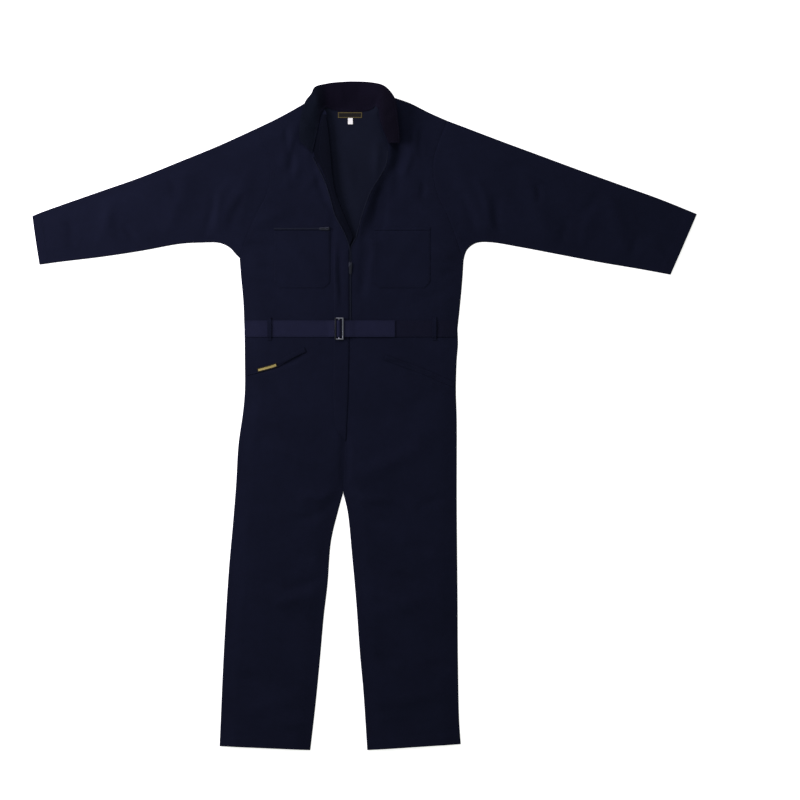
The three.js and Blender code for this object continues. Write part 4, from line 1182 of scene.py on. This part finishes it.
def build_sleeve(name, armhole, underarm, overarm):
    cloth = bpy.context.scene.suit_cloth
    cuff = straight(underarm[-1], overarm[-1])
    across = stations(length_of(overarm), cloth.cell / MM)
    up = stations(length_of(armhole), cloth.cell / MM)
    grid = patch(underarm, overarm, armhole, cuff, across, up)
    roll = (("low", 1.0), ("high", 1.0))
    sheets = [(top_sheet(grid, roll, (("start", 1.0),), "end"), 1), (under_sheet(grid, roll), -1)]
    lean = overarm[-1] - overarm[0]
    turn = math.atan2(lean[1], lean[0])
    piece = panel(f"sleeve_{name}", "navy_twill", sheets, cloth.leg_wall, turn)
    inset = (HEM["depth"] - 2) / length_of(overarm)
    up = stations(length_of(cuff), 3)
    return hem_rows(patch(underarm, overarm, armhole, cuff, np.array([0, 1 - inset, 1]), up)[:, 1])


def build_sleeves():
    rows = build_sleeve("wearer_right", armhole_right, underarm_right, overarm_right)
    rows += build_sleeve("wearer_left", armhole_left, underarm_left, overarm_left)
    stitches("stitches_cuffs", rows)


def build_trouser(name, outer, inner):
    cloth = bpy.context.scene.suit_cloth
    start, end = outer[::-1], Edge(inner[::-1], centre_seam[::-1])
    hem, waist = straight(outer[-1], inner[-1]), straight(outer[0], centre_seam[0])
    up = stations(length_of(outer), cloth.cell / MM)
    across = stations(length_of(waist), cloth.cell / MM)
    grid = patch(hem, waist, start, end, across, up)
    in_leg = side_weight(end, up)
    roll = (("start", 1.0), ("end", in_leg))
    over = top_sheet(grid, roll, (("end", 1 - in_leg), ("high", 1.0)), "low")
    piece = panel(f"trouser_front_{name}", "navy_twill", [(over, 1)], cloth.leg_wall)
    piece = panel(f"trouser_back_{name}", "navy_twill", [(under_sheet(grid, roll), -1)], cloth.leg_wall)
    level = (HEM["depth"] - 2) / length_of(outer)
    across = stations(length_of(hem), 3)
    return hem_rows(patch(hem, waist, start, end, across, np.array([0, level, 1]))[1])


def build_trousers():
    rows = build_trouser("wearer_right", leg_outer_right, leg_inner_right)
    rows += build_trouser("wearer_left", leg_outer_left, leg_inner_left)
    below_fly = along(centre_seam, np.linspace(0.66, 0.995, 40))
    rows += [on_cloth(beside(below_fly, distance)) for distance in ROWS["fly"]]
    stitches("stitches_trousers", rows)


# Collar

def build_collar():
    across = stations(COLLAR_WIDTH, COLLAR_CELL)
    columns = spaced(curve(COLLAR), COLLAR_CELL).T[:, :, None]
    on_front, seam_x, seam_y, seam_z, free_x, free_y, free_z, bulge = columns
    share = across[None, :]
    x = seam_x + (free_x - seam_x) * share
    y = seam_y + (free_y - seam_y) * share
    ridge = uneven(x, y, 16, 7) * np.sin(math.pi * share) + uneven(x, y, 27, 9) * share
    ridge = ridge + crease_height(COLLAR_CREASES, x, y)
    seat = seam_z + on_front * cloth_top(seam_x, seam_y)
    z = seat + (free_z - seat) * share + bulge * np.sin(math.pi * share) + ridge
    sewn = (1 - on_front) * (1 - smoothstep(share, 0, 0.12))
    y = y - NECK_SEAM["over"] * sewn
    z = z + NECK_SEAM["rise"] * sewn
    z = np.where(on_front > 0.5, np.maximum(z, cloth_top(x, y) + LAID_GAP + COLLAR_CLOTH), z)
    points = np.dstack([x, y, np.maximum(z, COLLAR_CLOTH / 2)])
    grids = [(points, run_cut(points), 0)]
    piece = cloth_piece("cloth_collar", "collar", "navy_collar", grids, COLLAR_CLOTH * MM, 0.0)
    near, low = (np.argmin(np.abs(across - part)) for part in ROWS["collar shares"])
    rows = points[2:-2, near], points[2:-2, low], points[1, 2:near], points[-2, 2:near]
    stitches("stitches_collar", [row + (0, 0, COLLAR_CLOTH / 2 + 0.1) for row in rows])


# Facing, placket and zip

def laid_piece(name, node, slot, grid, above, wall, cut=None, dip=LAID_DIP["depth"]):
    """A piece sewn on the front: it follows the cloth below it and dips to it at its edges."""
    near = np.minimum.reduce([from_side(grid, side) for side in ("start", "end", "low", "high")])
    z = cloth_top(grid[..., 0], grid[..., 1]) + above + wall - dip * bell(near, LAID_DIP["reach"])
    points = np.dstack([grid, z])
    cut = flat_cut(points) if cut is None else cut
    return cloth_piece(name, node, slot, [(points, cut, 1)], wall * MM), points


def build_facing():
    inner, outer = curve(FACING_INNER)[::-1], curve(FACING_OUTER)[::-1]
    grid = between(inner, outer, stations(34, 3.2), stations(length_of(outer), 4.0))
    base = cloth_top(grid[..., 0], grid[..., 1])
    thick = LAID_GAP + CLOTH
    z = base + thick - dipped(grid, (("end", 1.0),))
    out = grid[:, 0] - grid[:, 1]
    out = out / np.linalg.norm(out, axis=1)[:, None]
    radius = (thick + CLOTH) / 2
    roll = [
        np.column_stack([
            grid[:, 0] + out * (0.9 * radius * math.sin(angle)),
            (base[:, 0] + thick - radius) + radius * math.cos(angle),
        ])
        for angle in np.radians(np.linspace(180, 20, 7))
    ]
    points = np.concatenate([np.stack(roll, axis=1), np.dstack([grid, z])], axis=1)
    # Its finish is the inside cloth darkened as painted shade.
    piece = cloth_piece(
        "cloth_front_facing", "front_facing_wearer_right", "navy_inside", [(points, flat_cut(points), 1)],
        FACING_WALL * MM, finish="facing_twill",
    )
    near = column_at(grid, ROWS["facing"], "end")
    return [np.column_stack([grid[2:-2, near], z[2:-2, near] + ROW_LIFT])]


def build_placket():
    inner, outer = curve(PLACKET_INNER)[::-1], curve(PLACKET_OUTER)[::-1]
    grid = between(outer, inner, stations(38, 4.4), stations(length_of(outer), 5.0))
    piece, points = laid_piece("cloth_front_placket", "front_placket", "navy_twill", grid, LAID_GAP, CLOTH)
    rows = [points[3:-1, column_at(grid, distance)] for distance in ROWS["placket"]]
    return [row + (0, 0, ROW_LIFT) for row in (*rows, points[2, 3:-3])]


def tape(name, node, line, near, far, turned=False):
    """A strip of zip tape beside a line. A turned one comes up on the facing at its upper end."""
    line = spaced(line, 4.0)
    points = []
    for step in np.linspace(near, far, 5):
        side = beside(line, step)
        drop = -TAPE_THICKNESS
        if turned:
            low, high = TAPE_DROP["low"], TAPE_DROP["high"]
            share = (np.clip(side[:, 1], low, high) - low) / (high - low)
            drop = -TAPE_THICKNESS + share * (LAID_GAP + TAPE_THICKNESS)
        height = cloth_top(side[:, 0], side[:, 1]) + drop
        points.append(np.column_stack([side, height + TAPE_THICKNESS * 0.72]))
    points = np.stack(points, axis=1)
    cloth_piece(name, node, "zip_tape", [(points, run_cut(points), 1)], TAPE_WALL * MM)
    return points


def build_zip():
    half = TAPE_WIDTH / 2
    right = tape("zip_tape_right", "zip_tape_open_wearer_right", curve(TAPE_RIGHT), -half, half, turned=True)
    upper = along(front_edge_left, np.linspace(TAPE_LEFT_FIRST, 1, 60))
    lower = straight(
        (CLOSED_EDGE_LEFT_X, TIP_Y - TIP_DROP), (CLOSED_EDGE_LEFT_X, SLIDER_Y + SLIDER_HOLD),
    )
    line = np.vstack([upper, lower])
    left = tape("zip_tape_left", "zip_tape_open_wearer_left", line, -GAP / 2, -GAP / 2 - TAPE_WIDTH)
    middle = (CLOSED_EDGE_RIGHT_X + CLOSED_EDGE_LEFT_X) / 2
    line = straight((middle, WAIST_Y), (middle, SLIDER_Y - SLIDER_HOLD))
    chain = tape("zip_tape_closed", "zip_chain_closed", line, -CHAIN_WIDTH / 2, CHAIN_WIDTH / 2)
    rise, pitch = (0, 0, TOOTH["rise"]), TOOTH["pitch"]
    rows = [steps_of(spaced(line + rise, pitch)) for line in (right[:, 2], left[:, 3])]
    rows.append(steps_of(spaced(chain[:, 2] + rise, pitch / 2), 0, 0.9))
    teeth("zip_teeth", rows)
    topstitch = on_cloth(beside(spaced(upper, 5), ROWS["front"]))
    stitches("stitches_front", [*build_facing(), *build_placket(), topstitch])


# Metal pieces

def build_metal():
    """Each node's shape with rounded edges."""
    for name, node, finish, radius, body in METAL:
        bm = bmesh.new()
        bm.from_mesh(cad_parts[node].data)
        bmesh.ops.remove_doubles(bm, verts=bm.verts, dist=0.000002)
        bmesh.ops.dissolve_limit(bm, angle_limit=math.radians(2), verts=bm.verts, edges=bm.edges)
        sharp = [
            edge for edge in bm.edges
            if len(edge.link_faces) == 2 and edge.calc_face_angle() > math.radians(35)
        ]
        bmesh.ops.bevel(
            bm, geom=sharp, offset=radius * MM, segments=3, profile=0.5, affect="EDGES", material=-1,
            clamp_overlap=True,
        )
        piece = new_object(name, bm, finish_of(finish))
        piece.data.set_sharp_from_angle(angle=math.radians(40))
        fit(piece, "steel", node, body=body)


# Pockets

def pocket_grid(sign):
    inner, outer, low, high, corner = POCKET.values()
    bottom = straight((sign * (outer - corner), low), (sign * (inner + corner), low))
    top = straight((sign * outer, high), (sign * inner, high))
    start, end = (
        Edge(
            straight(bottom[k], (sign * x, low + corner)), straight((sign * x, low + corner), top[k]),
            shares=(1, 7),
        )
        for k, x in enumerate((outer, inner))
    )
    across, up = stations(outer - inner, 5.0), stations(high - low, 5.0)
    return patch(bottom, top, start, end, across, up), bottom, top


def build_chest_pockets():
    rows = []
    low, high = POCKET_ZIP["low"], POCKET_ZIP["high"]
    for side, sign in (("wearer_right", -1), ("wearer_left", 1)):
        grid, bottom, top = pocket_grid(sign)
        node = f"chest_pocket_{side}"
        piece, points = laid_piece(f"cloth_{node}", node, "navy_twill", grid, POCKET_REST, POCKET_WALL)
        for inset in ROWS["pocket"]:
            k = column_at(grid, inset)
            j = np.argmin(np.abs(from_side(grid, "low")[:, len(grid[0]) // 2] - inset))
            for row in (points[j:-2, k], points[j:-2, -1 - k], points[j, k:-1 - k]):
                rows.append(row + (0, 0, ROW_LIFT))
        node = "chest_pocket_zip_wearer_right" if sign < 0 else "chest_pocket_welt_wearer_left"
        ends = [straight((sign * x, low), (sign * x, high)) for x in (POCKET["outer"], POCKET["inner"])]
        across = stations(POCKET["outer"] - POCKET["inner"], 5.0)
        strip = between(*ends, across, stations(high - low, 1.6, False))
        slot = "zip_tape" if sign < 0 else "navy_twill"
        laid_piece(f"cloth_{node}", node, slot, strip, LAID_GAP, POCKET_ZIP["wall"])
        if sign < 0:
            row = spaced(on_cloth(strip[2, [0, -1]]), TOOTH["pitch"] / 2)
            teeth("chest_pocket_teeth", [steps_of(row + (0, 0, LAID_GAP + POCKET_ZIP["wall"]), 1, 0.6)])
        rows.append(on_cloth(strip[-1, [0, -1]] + (0, ROWS["pocket zip"])))
    stitches("stitches_chest_pockets", rows)


def build_side_pockets():
    rows = []
    for side, line, sign in (("wearer_right", SIDE_POCKET_RIGHT, -1), ("wearer_left", SIDE_POCKET_LEFT, 1)):
        opening = curve(line)
        low = spaced(opening, 4.0)
        high = beside(low, sign * WELT_WIDTH)
        grid = between(low, high, stations(WELT_WIDTH, 3.0), stations(length_of(opening), 4.0))
        node = f"side_pocket_welt_{side}"
        piece, points = laid_piece(f"cloth_{node}", node, "navy_twill", grid, LAID_GAP, CLOTH)
        for inset in (ROWS["welt"], WELT_WIDTH - ROWS["welt"]):
            rows.append(points[2:-2, column_at(grid, inset)] + (0, 0, ROW_LIFT))
    stitches("stitches_side_pockets", rows)


def with_rim(piece, size):
    """Marks each corner of a small rectangle's mesh by how near it is to the rim, from 0 to 1."""
    uv = piece.data.uv_layers["UVMap"].data
    rim = np.empty(len(piece.data.vertices), np.float32)
    for loop in piece.data.loops:
        u, v = uv[loop.index].uv
        end = (1 - abs(2 * v / size[1] - 1)) * size[1] / size[0]
        rim[loop.vertex_index] = max(abs(2 * u / size[0] - 1), 1 - end)
    piece.data.attributes.new("rim", "FLOAT", "POINT").data.foreach_set("value", rim)


def build_tab():
    line = along(curve(SIDE_POCKET_RIGHT), np.linspace(TAB["first"], TAB["last"], 24))
    low, high = beside(line, -TAB["inset"]), beside(line, -TAB["inset"] - TAB["width"])
    grid = between(low, high, stations(TAB["width"], 0.5, False), stations(length_of(line), 0.8, False))
    cut = run_cut(grid)
    piece, points = laid_piece(
        "tab_side_pocket", "side_pocket_tab", "gold_ribbon", grid, 2 * LAID_GAP + CLOTH, TAB["wall"],
        cut, 0.0,
    )
    with_rim(piece, cut[-1, -1])


# Belt

def belt_underside(x):
    heights = [cloth_top(x, np.full(np.shape(x), WAIST_Y + k * BELT["width"] / 2)) for k in (-1, 0, 1)]
    up = smoothstep(x, OVER_PLACKET["from"], OVER_PLACKET["up"])
    down = smoothstep(x, OVER_PLACKET["down"], OVER_PLACKET["to"])
    return np.maximum.reduce(heights) + LAID_GAP + up * (1 - down) * (CLOTH + GAP)


def strap(side, finish, line):
    """A strap whose side view follows a line of x and z."""
    run = spaced(curve(line), 2.2)
    y = WAIST_Y + BELT["width"] * (stations(BELT["width"], 4.0) - 0.5)
    x, z = run[:, :1] + 0 * y, run[:, 1:]
    y = y + 0 * x
    points = np.dstack([x, y, z + 0.22 * uneven(x, y, 19, 11)])
    piece = cloth_piece(
        f"cloth_belt_{side}", f"belt_strap_{side}", "navy_twill", [(points, run_cut(points), 0)],
        BELT["thickness"] * MM, 0.0, finish,
    )
    return points


def strap_middle(x, extra=0.0):
    x = np.asarray(x, float)
    return np.column_stack([x, belt_underside(x) + BELT["thickness"] / 2 + extra])


def build_belt():
    half = BELT["thickness"] / 2
    bar_z = BUCKLE["z"]
    under_bar = bar_z - BUCKLE["bar"] / 2 - GAP - half
    hook = half + GAP + BUCKLE["centre_bar"] / 2
    angles = np.radians(np.linspace(HOOK["from"], HOOK["to"], HOOK["steps"]))
    turned = np.column_stack([BUCKLE_X + hook * np.cos(angles), bar_z + hook * np.sin(angles)])
    lower_x = [*np.linspace(BELT["end_left"], 215, 5), *np.linspace(200, 20, 7), 10, 0, -8, -16, -24.5]
    left = strap("wearer_left", "belt_shaded", np.vstack([strap_middle(lower_x), turned]))
    top = bar_z + BUCKLE["centre_bar"] / 2 + GAP + BELT["thickness"] + GAP + half
    threaded = [(BUCKLE_X + x, under_bar + rise * (top - under_bar)) for x, rise in THREADING]
    near_x = [*np.linspace(BELT["end_right"], -215, 5), *np.linspace(-200, -60, 7)]
    tail_x = [-8, 0, 10, *np.linspace(20, BUCKLE_X + BELT["tail"], 5)]
    tail = strap_middle(tail_x, BELT["thickness"] + TAIL_GAP)
    right = strap("wearer_right", "belt_twill", np.vstack([strap_middle(near_x), threaded, tail]))
    rows = []
    for points, keep in (
        (right, right[:, 0, 0] < BUCKLE_X - 14),
        (right, right[:, 0, 0] > BUCKLE_X + 14),
        (left, left[:, 0, 0] > BUCKLE_X + BELT["tail"] + 4),
    ):
        for inset in (ROWS["belt"], BELT["width"] - ROWS["belt"]):
            column = np.argmin(np.abs(points[0, :, 1] - (WAIST_Y - BELT["width"] / 2 + inset)))
            rows.append(points[keep][:, column])
    rows.append(right[-2, 1:-1])
    stitches("stitches_belt", [row + (0, 0, half + 0.08) for row in rows])


def build_loops():
    rows = []
    thickness = LOOP["thickness"]
    for side, x in (("wearer_right", -LOOP["x"]), ("wearer_left", LOOP["x"])):
        at = np.array([float(x)])
        low = float(cloth_top(at, np.array([WAIST_Y]))[0]) + LAID_GAP + thickness / 2
        high = float(belt_underside(at)[0]) + BELT["thickness"] + LAID_GAP + thickness / 2
        edge, reach = BELT["width"] / 2, LOOP["height"] / 2
        arch = [
            (edge + LOOP["foot"], low), (edge + LOOP["bend"], (low + high) / 2),
            (edge - LOOP["turn"], high + LOOP["slack"]),
        ]
        run = spaced(curve([(-reach, low), *[(-y, z) for y, z in arch], *arch[::-1], (reach, low)]), 1.4)
        across = stations(LOOP["width"], 2.4)
        y, z = WAIST_Y + run[:, :1], run[:, 1:]
        wide = x + LOOP["width"] * (across[None, :] - 0.5)
        points = np.dstack([wide + 0 * y, y + 0 * wide, z + 0 * wide])
        piece = cloth_piece(
            f"cloth_belt_loop_{side}", f"belt_loop_{side}", "navy_twill", [(points, run_cut(points), 0)],
            thickness * MM, 0.0,
        )
        rows += [points[1:-1, k] for k in (1 + len(across) // 8, -2 - len(across) // 8)]
        rows += [points[end, 1:-1] for end in (2, 4, -5, -3)]
    stitches("stitches_belt_loops", [row + (0, 0, thickness / 2 + 0.08) for row in rows])


# Labels

def build_labels():
    for name, node, slot, (x0, x1, y0, y1) in LABELS:
        width, length = x1 - x0, y1 - y0
        u, v = stations(width, 0.6, False), stations(length, 0.6, False)
        x, y = np.meshgrid(x0 + width * u, y0 + length * v)
        curl = 0.5 * (2 * (y - y0) / length - 1) ** 2 * 0.4 + 0.12 * uneven(x, y, 14, 12)
        points = np.dstack([x, y, CLOTH + GAP + LABEL_WALL + curl])
        cut = np.dstack([x - x0, y - y0]) * MM
        piece = cloth_piece(name, node, slot, [(points, cut, 1)], LABEL_WALL * MM)
        with_rim(piece, (width * MM, length * MM))


# Stage

def build_stage():
    stage = bpy.context.scene.suit_stage
    camera = bpy.data.cameras.new("camera")
    camera.lens = stage.lens
    camera.clip_end = 200
    eye = linked("camera", camera)
    eye.location = (*to_row(VIEW_MIDDLE)[:2], stage.scale * camera.lens / camera.sensor_width)
    bpy.context.scene.camera = eye

    bm = bmesh.new()
    bmesh.ops.create_grid(bm, x_segments=4, y_segments=4, size=FLOOR["half_width"])
    bmesh.ops.translate(bm, verts=bm.verts, vec=(0, 0, FLOOR["z"]))
    shader = Shader("pale_floor")
    grain = shader.noise(shader.place(), 120.0, 3.0)
    colour = shader.shades(grain, [stage.floor] * 3, 0.98, 1)
    glow = {"Emission_Color": (1, 1, 1, 1), "Emission_Strength": stage.glow}
    new_object("floor", bm, shader.finish(colour, grain * 0.1 + 0.7, **glow))

    world = bpy.data.worlds.new("sky")
    world.use_nodes = True
    sky = world.node_tree.nodes["Background"].inputs
    sky["Color"].default_value = SKY_COLOUR
    sky["Strength"].default_value = stage.sky
    bpy.context.scene.world = world

    for name, place, size, share in LIGHTS:
        light = bpy.data.lights.new(name, "AREA")
        light.size = size
        light.energy = stage.key * share
        light.color = LIGHT_COLOUR
        lamp = linked(name, light)
        lamp.location = place
        lamp.rotation_euler = (Vector(LIT_PLACE) - lamp.location).to_track_quat("-Z", "Y").to_euler()
    bpy.context.scene.view_settings.view_transform = "Standard"


# Operators

class SUIT_OT_bodice(bpy.types.Operator):
    """Build the bodice's fronts and back."""

    bl_idname = "suit.bodice"
    bl_label = "Bodice"

    def execute(self, context):
        build_bodice()
        return {"FINISHED"}


class SUIT_OT_sleeves(bpy.types.Operator):
    """Build both sleeves with their cuffs' hems."""

    bl_idname = "suit.sleeves"
    bl_label = "Sleeves"

    def execute(self, context):
        build_sleeves()
        return {"FINISHED"}


class SUIT_OT_trousers(bpy.types.Operator):
    """Build the trousers' fronts and backs."""

    bl_idname = "suit.trousers"
    bl_label = "Trousers"

    def execute(self, context):
        build_trousers()
        return {"FINISHED"}


class SUIT_OT_collar(bpy.types.Operator):
    """Build the collar."""

    bl_idname = "suit.collar"
    bl_label = "Collar"

    def execute(self, context):
        build_collar()
        return {"FINISHED"}


class SUIT_OT_opening(bpy.types.Operator):
    """Build the facing, the placket, the zip's tapes and its teeth."""

    bl_idname = "suit.opening"
    bl_label = "Front opening"

    def execute(self, context):
        build_zip()
        return {"FINISHED"}


class SUIT_OT_pockets(bpy.types.Operator):
    """Build the chest pockets, the side pockets' welts and the tab."""

    bl_idname = "suit.pockets"
    bl_label = "Pockets"

    def execute(self, context):
        build_chest_pockets()
        build_side_pockets()
        build_tab()
        return {"FINISHED"}


class SUIT_OT_belt(bpy.types.Operator):
    """Build the belt's straps and its loops."""

    bl_idname = "suit.belt"
    bl_label = "Belt"

    def execute(self, context):
        build_belt()
        build_loops()
        return {"FINISHED"}


class SUIT_OT_metal(bpy.types.Operator):
    """Build the sliders, the pulls and the buckle."""

    bl_idname = "suit.metal"
    bl_label = "Metal pieces"

    def execute(self, context):
        build_metal()
        return {"FINISHED"}


class SUIT_OT_labels(bpy.types.Operator):
    """Build the bare labels in the neck."""

    bl_idname = "suit.labels"
    bl_label = "Labels"

    def execute(self, context):
        build_labels()
        return {"FINISHED"}


class SUIT_OT_stage(bpy.types.Operator):
    """Build the camera, the floor and the lights."""

    bl_idname = "suit.stage"
    bl_label = "Stage"

    def execute(self, context):
        build_stage()
        return {"FINISHED"}


OPERATORS = (
    SUIT_OT_stage, SUIT_OT_bodice, SUIT_OT_sleeves, SUIT_OT_trousers, SUIT_OT_collar, SUIT_OT_opening,
    SUIT_OT_pockets, SUIT_OT_belt, SUIT_OT_metal, SUIT_OT_labels,
)


class SUIT_PT_builder(bpy.types.Panel):
    """Lists the pieces of the suit and their settings."""

    bl_idname = "SUIT_PT_builder"
    bl_label = "Boiler suit"
    bl_space_type = "VIEW_3D"
    bl_region_type = "UI"
    bl_category = "Boiler suit"

    def draw(self, context):
        for operator in OPERATORS:
            self.layout.operator(operator.bl_idname)
        for settings in (context.scene.suit_cloth, context.scene.suit_trim, context.scene.suit_stage):
            for name in settings.__annotations__:
                self.layout.prop(settings, name)


SETTINGS = {"suit_cloth": SuitCloth, "suit_trim": SuitTrim, "suit_stage": SuitStage}
CLASSES = (*SETTINGS.values(), *OPERATORS, SUIT_PT_builder)


def register():
    for each in CLASSES:
        bpy.utils.register_class(each)
    for name, group in SETTINGS.items():
        setattr(bpy.types.Scene, name, PointerProperty(type=group))


def unregister():
    for name in SETTINGS:
        delattr(bpy.types.Scene, name)
    for each in reversed(CLASSES):
        bpy.utils.unregister_class(each)


def main():
    register()
    for operator in OPERATORS:
        group, name = operator.bl_idname.split(".")
        getattr(getattr(bpy.ops, group), name)()


if __name__ == "__main__":
    main()
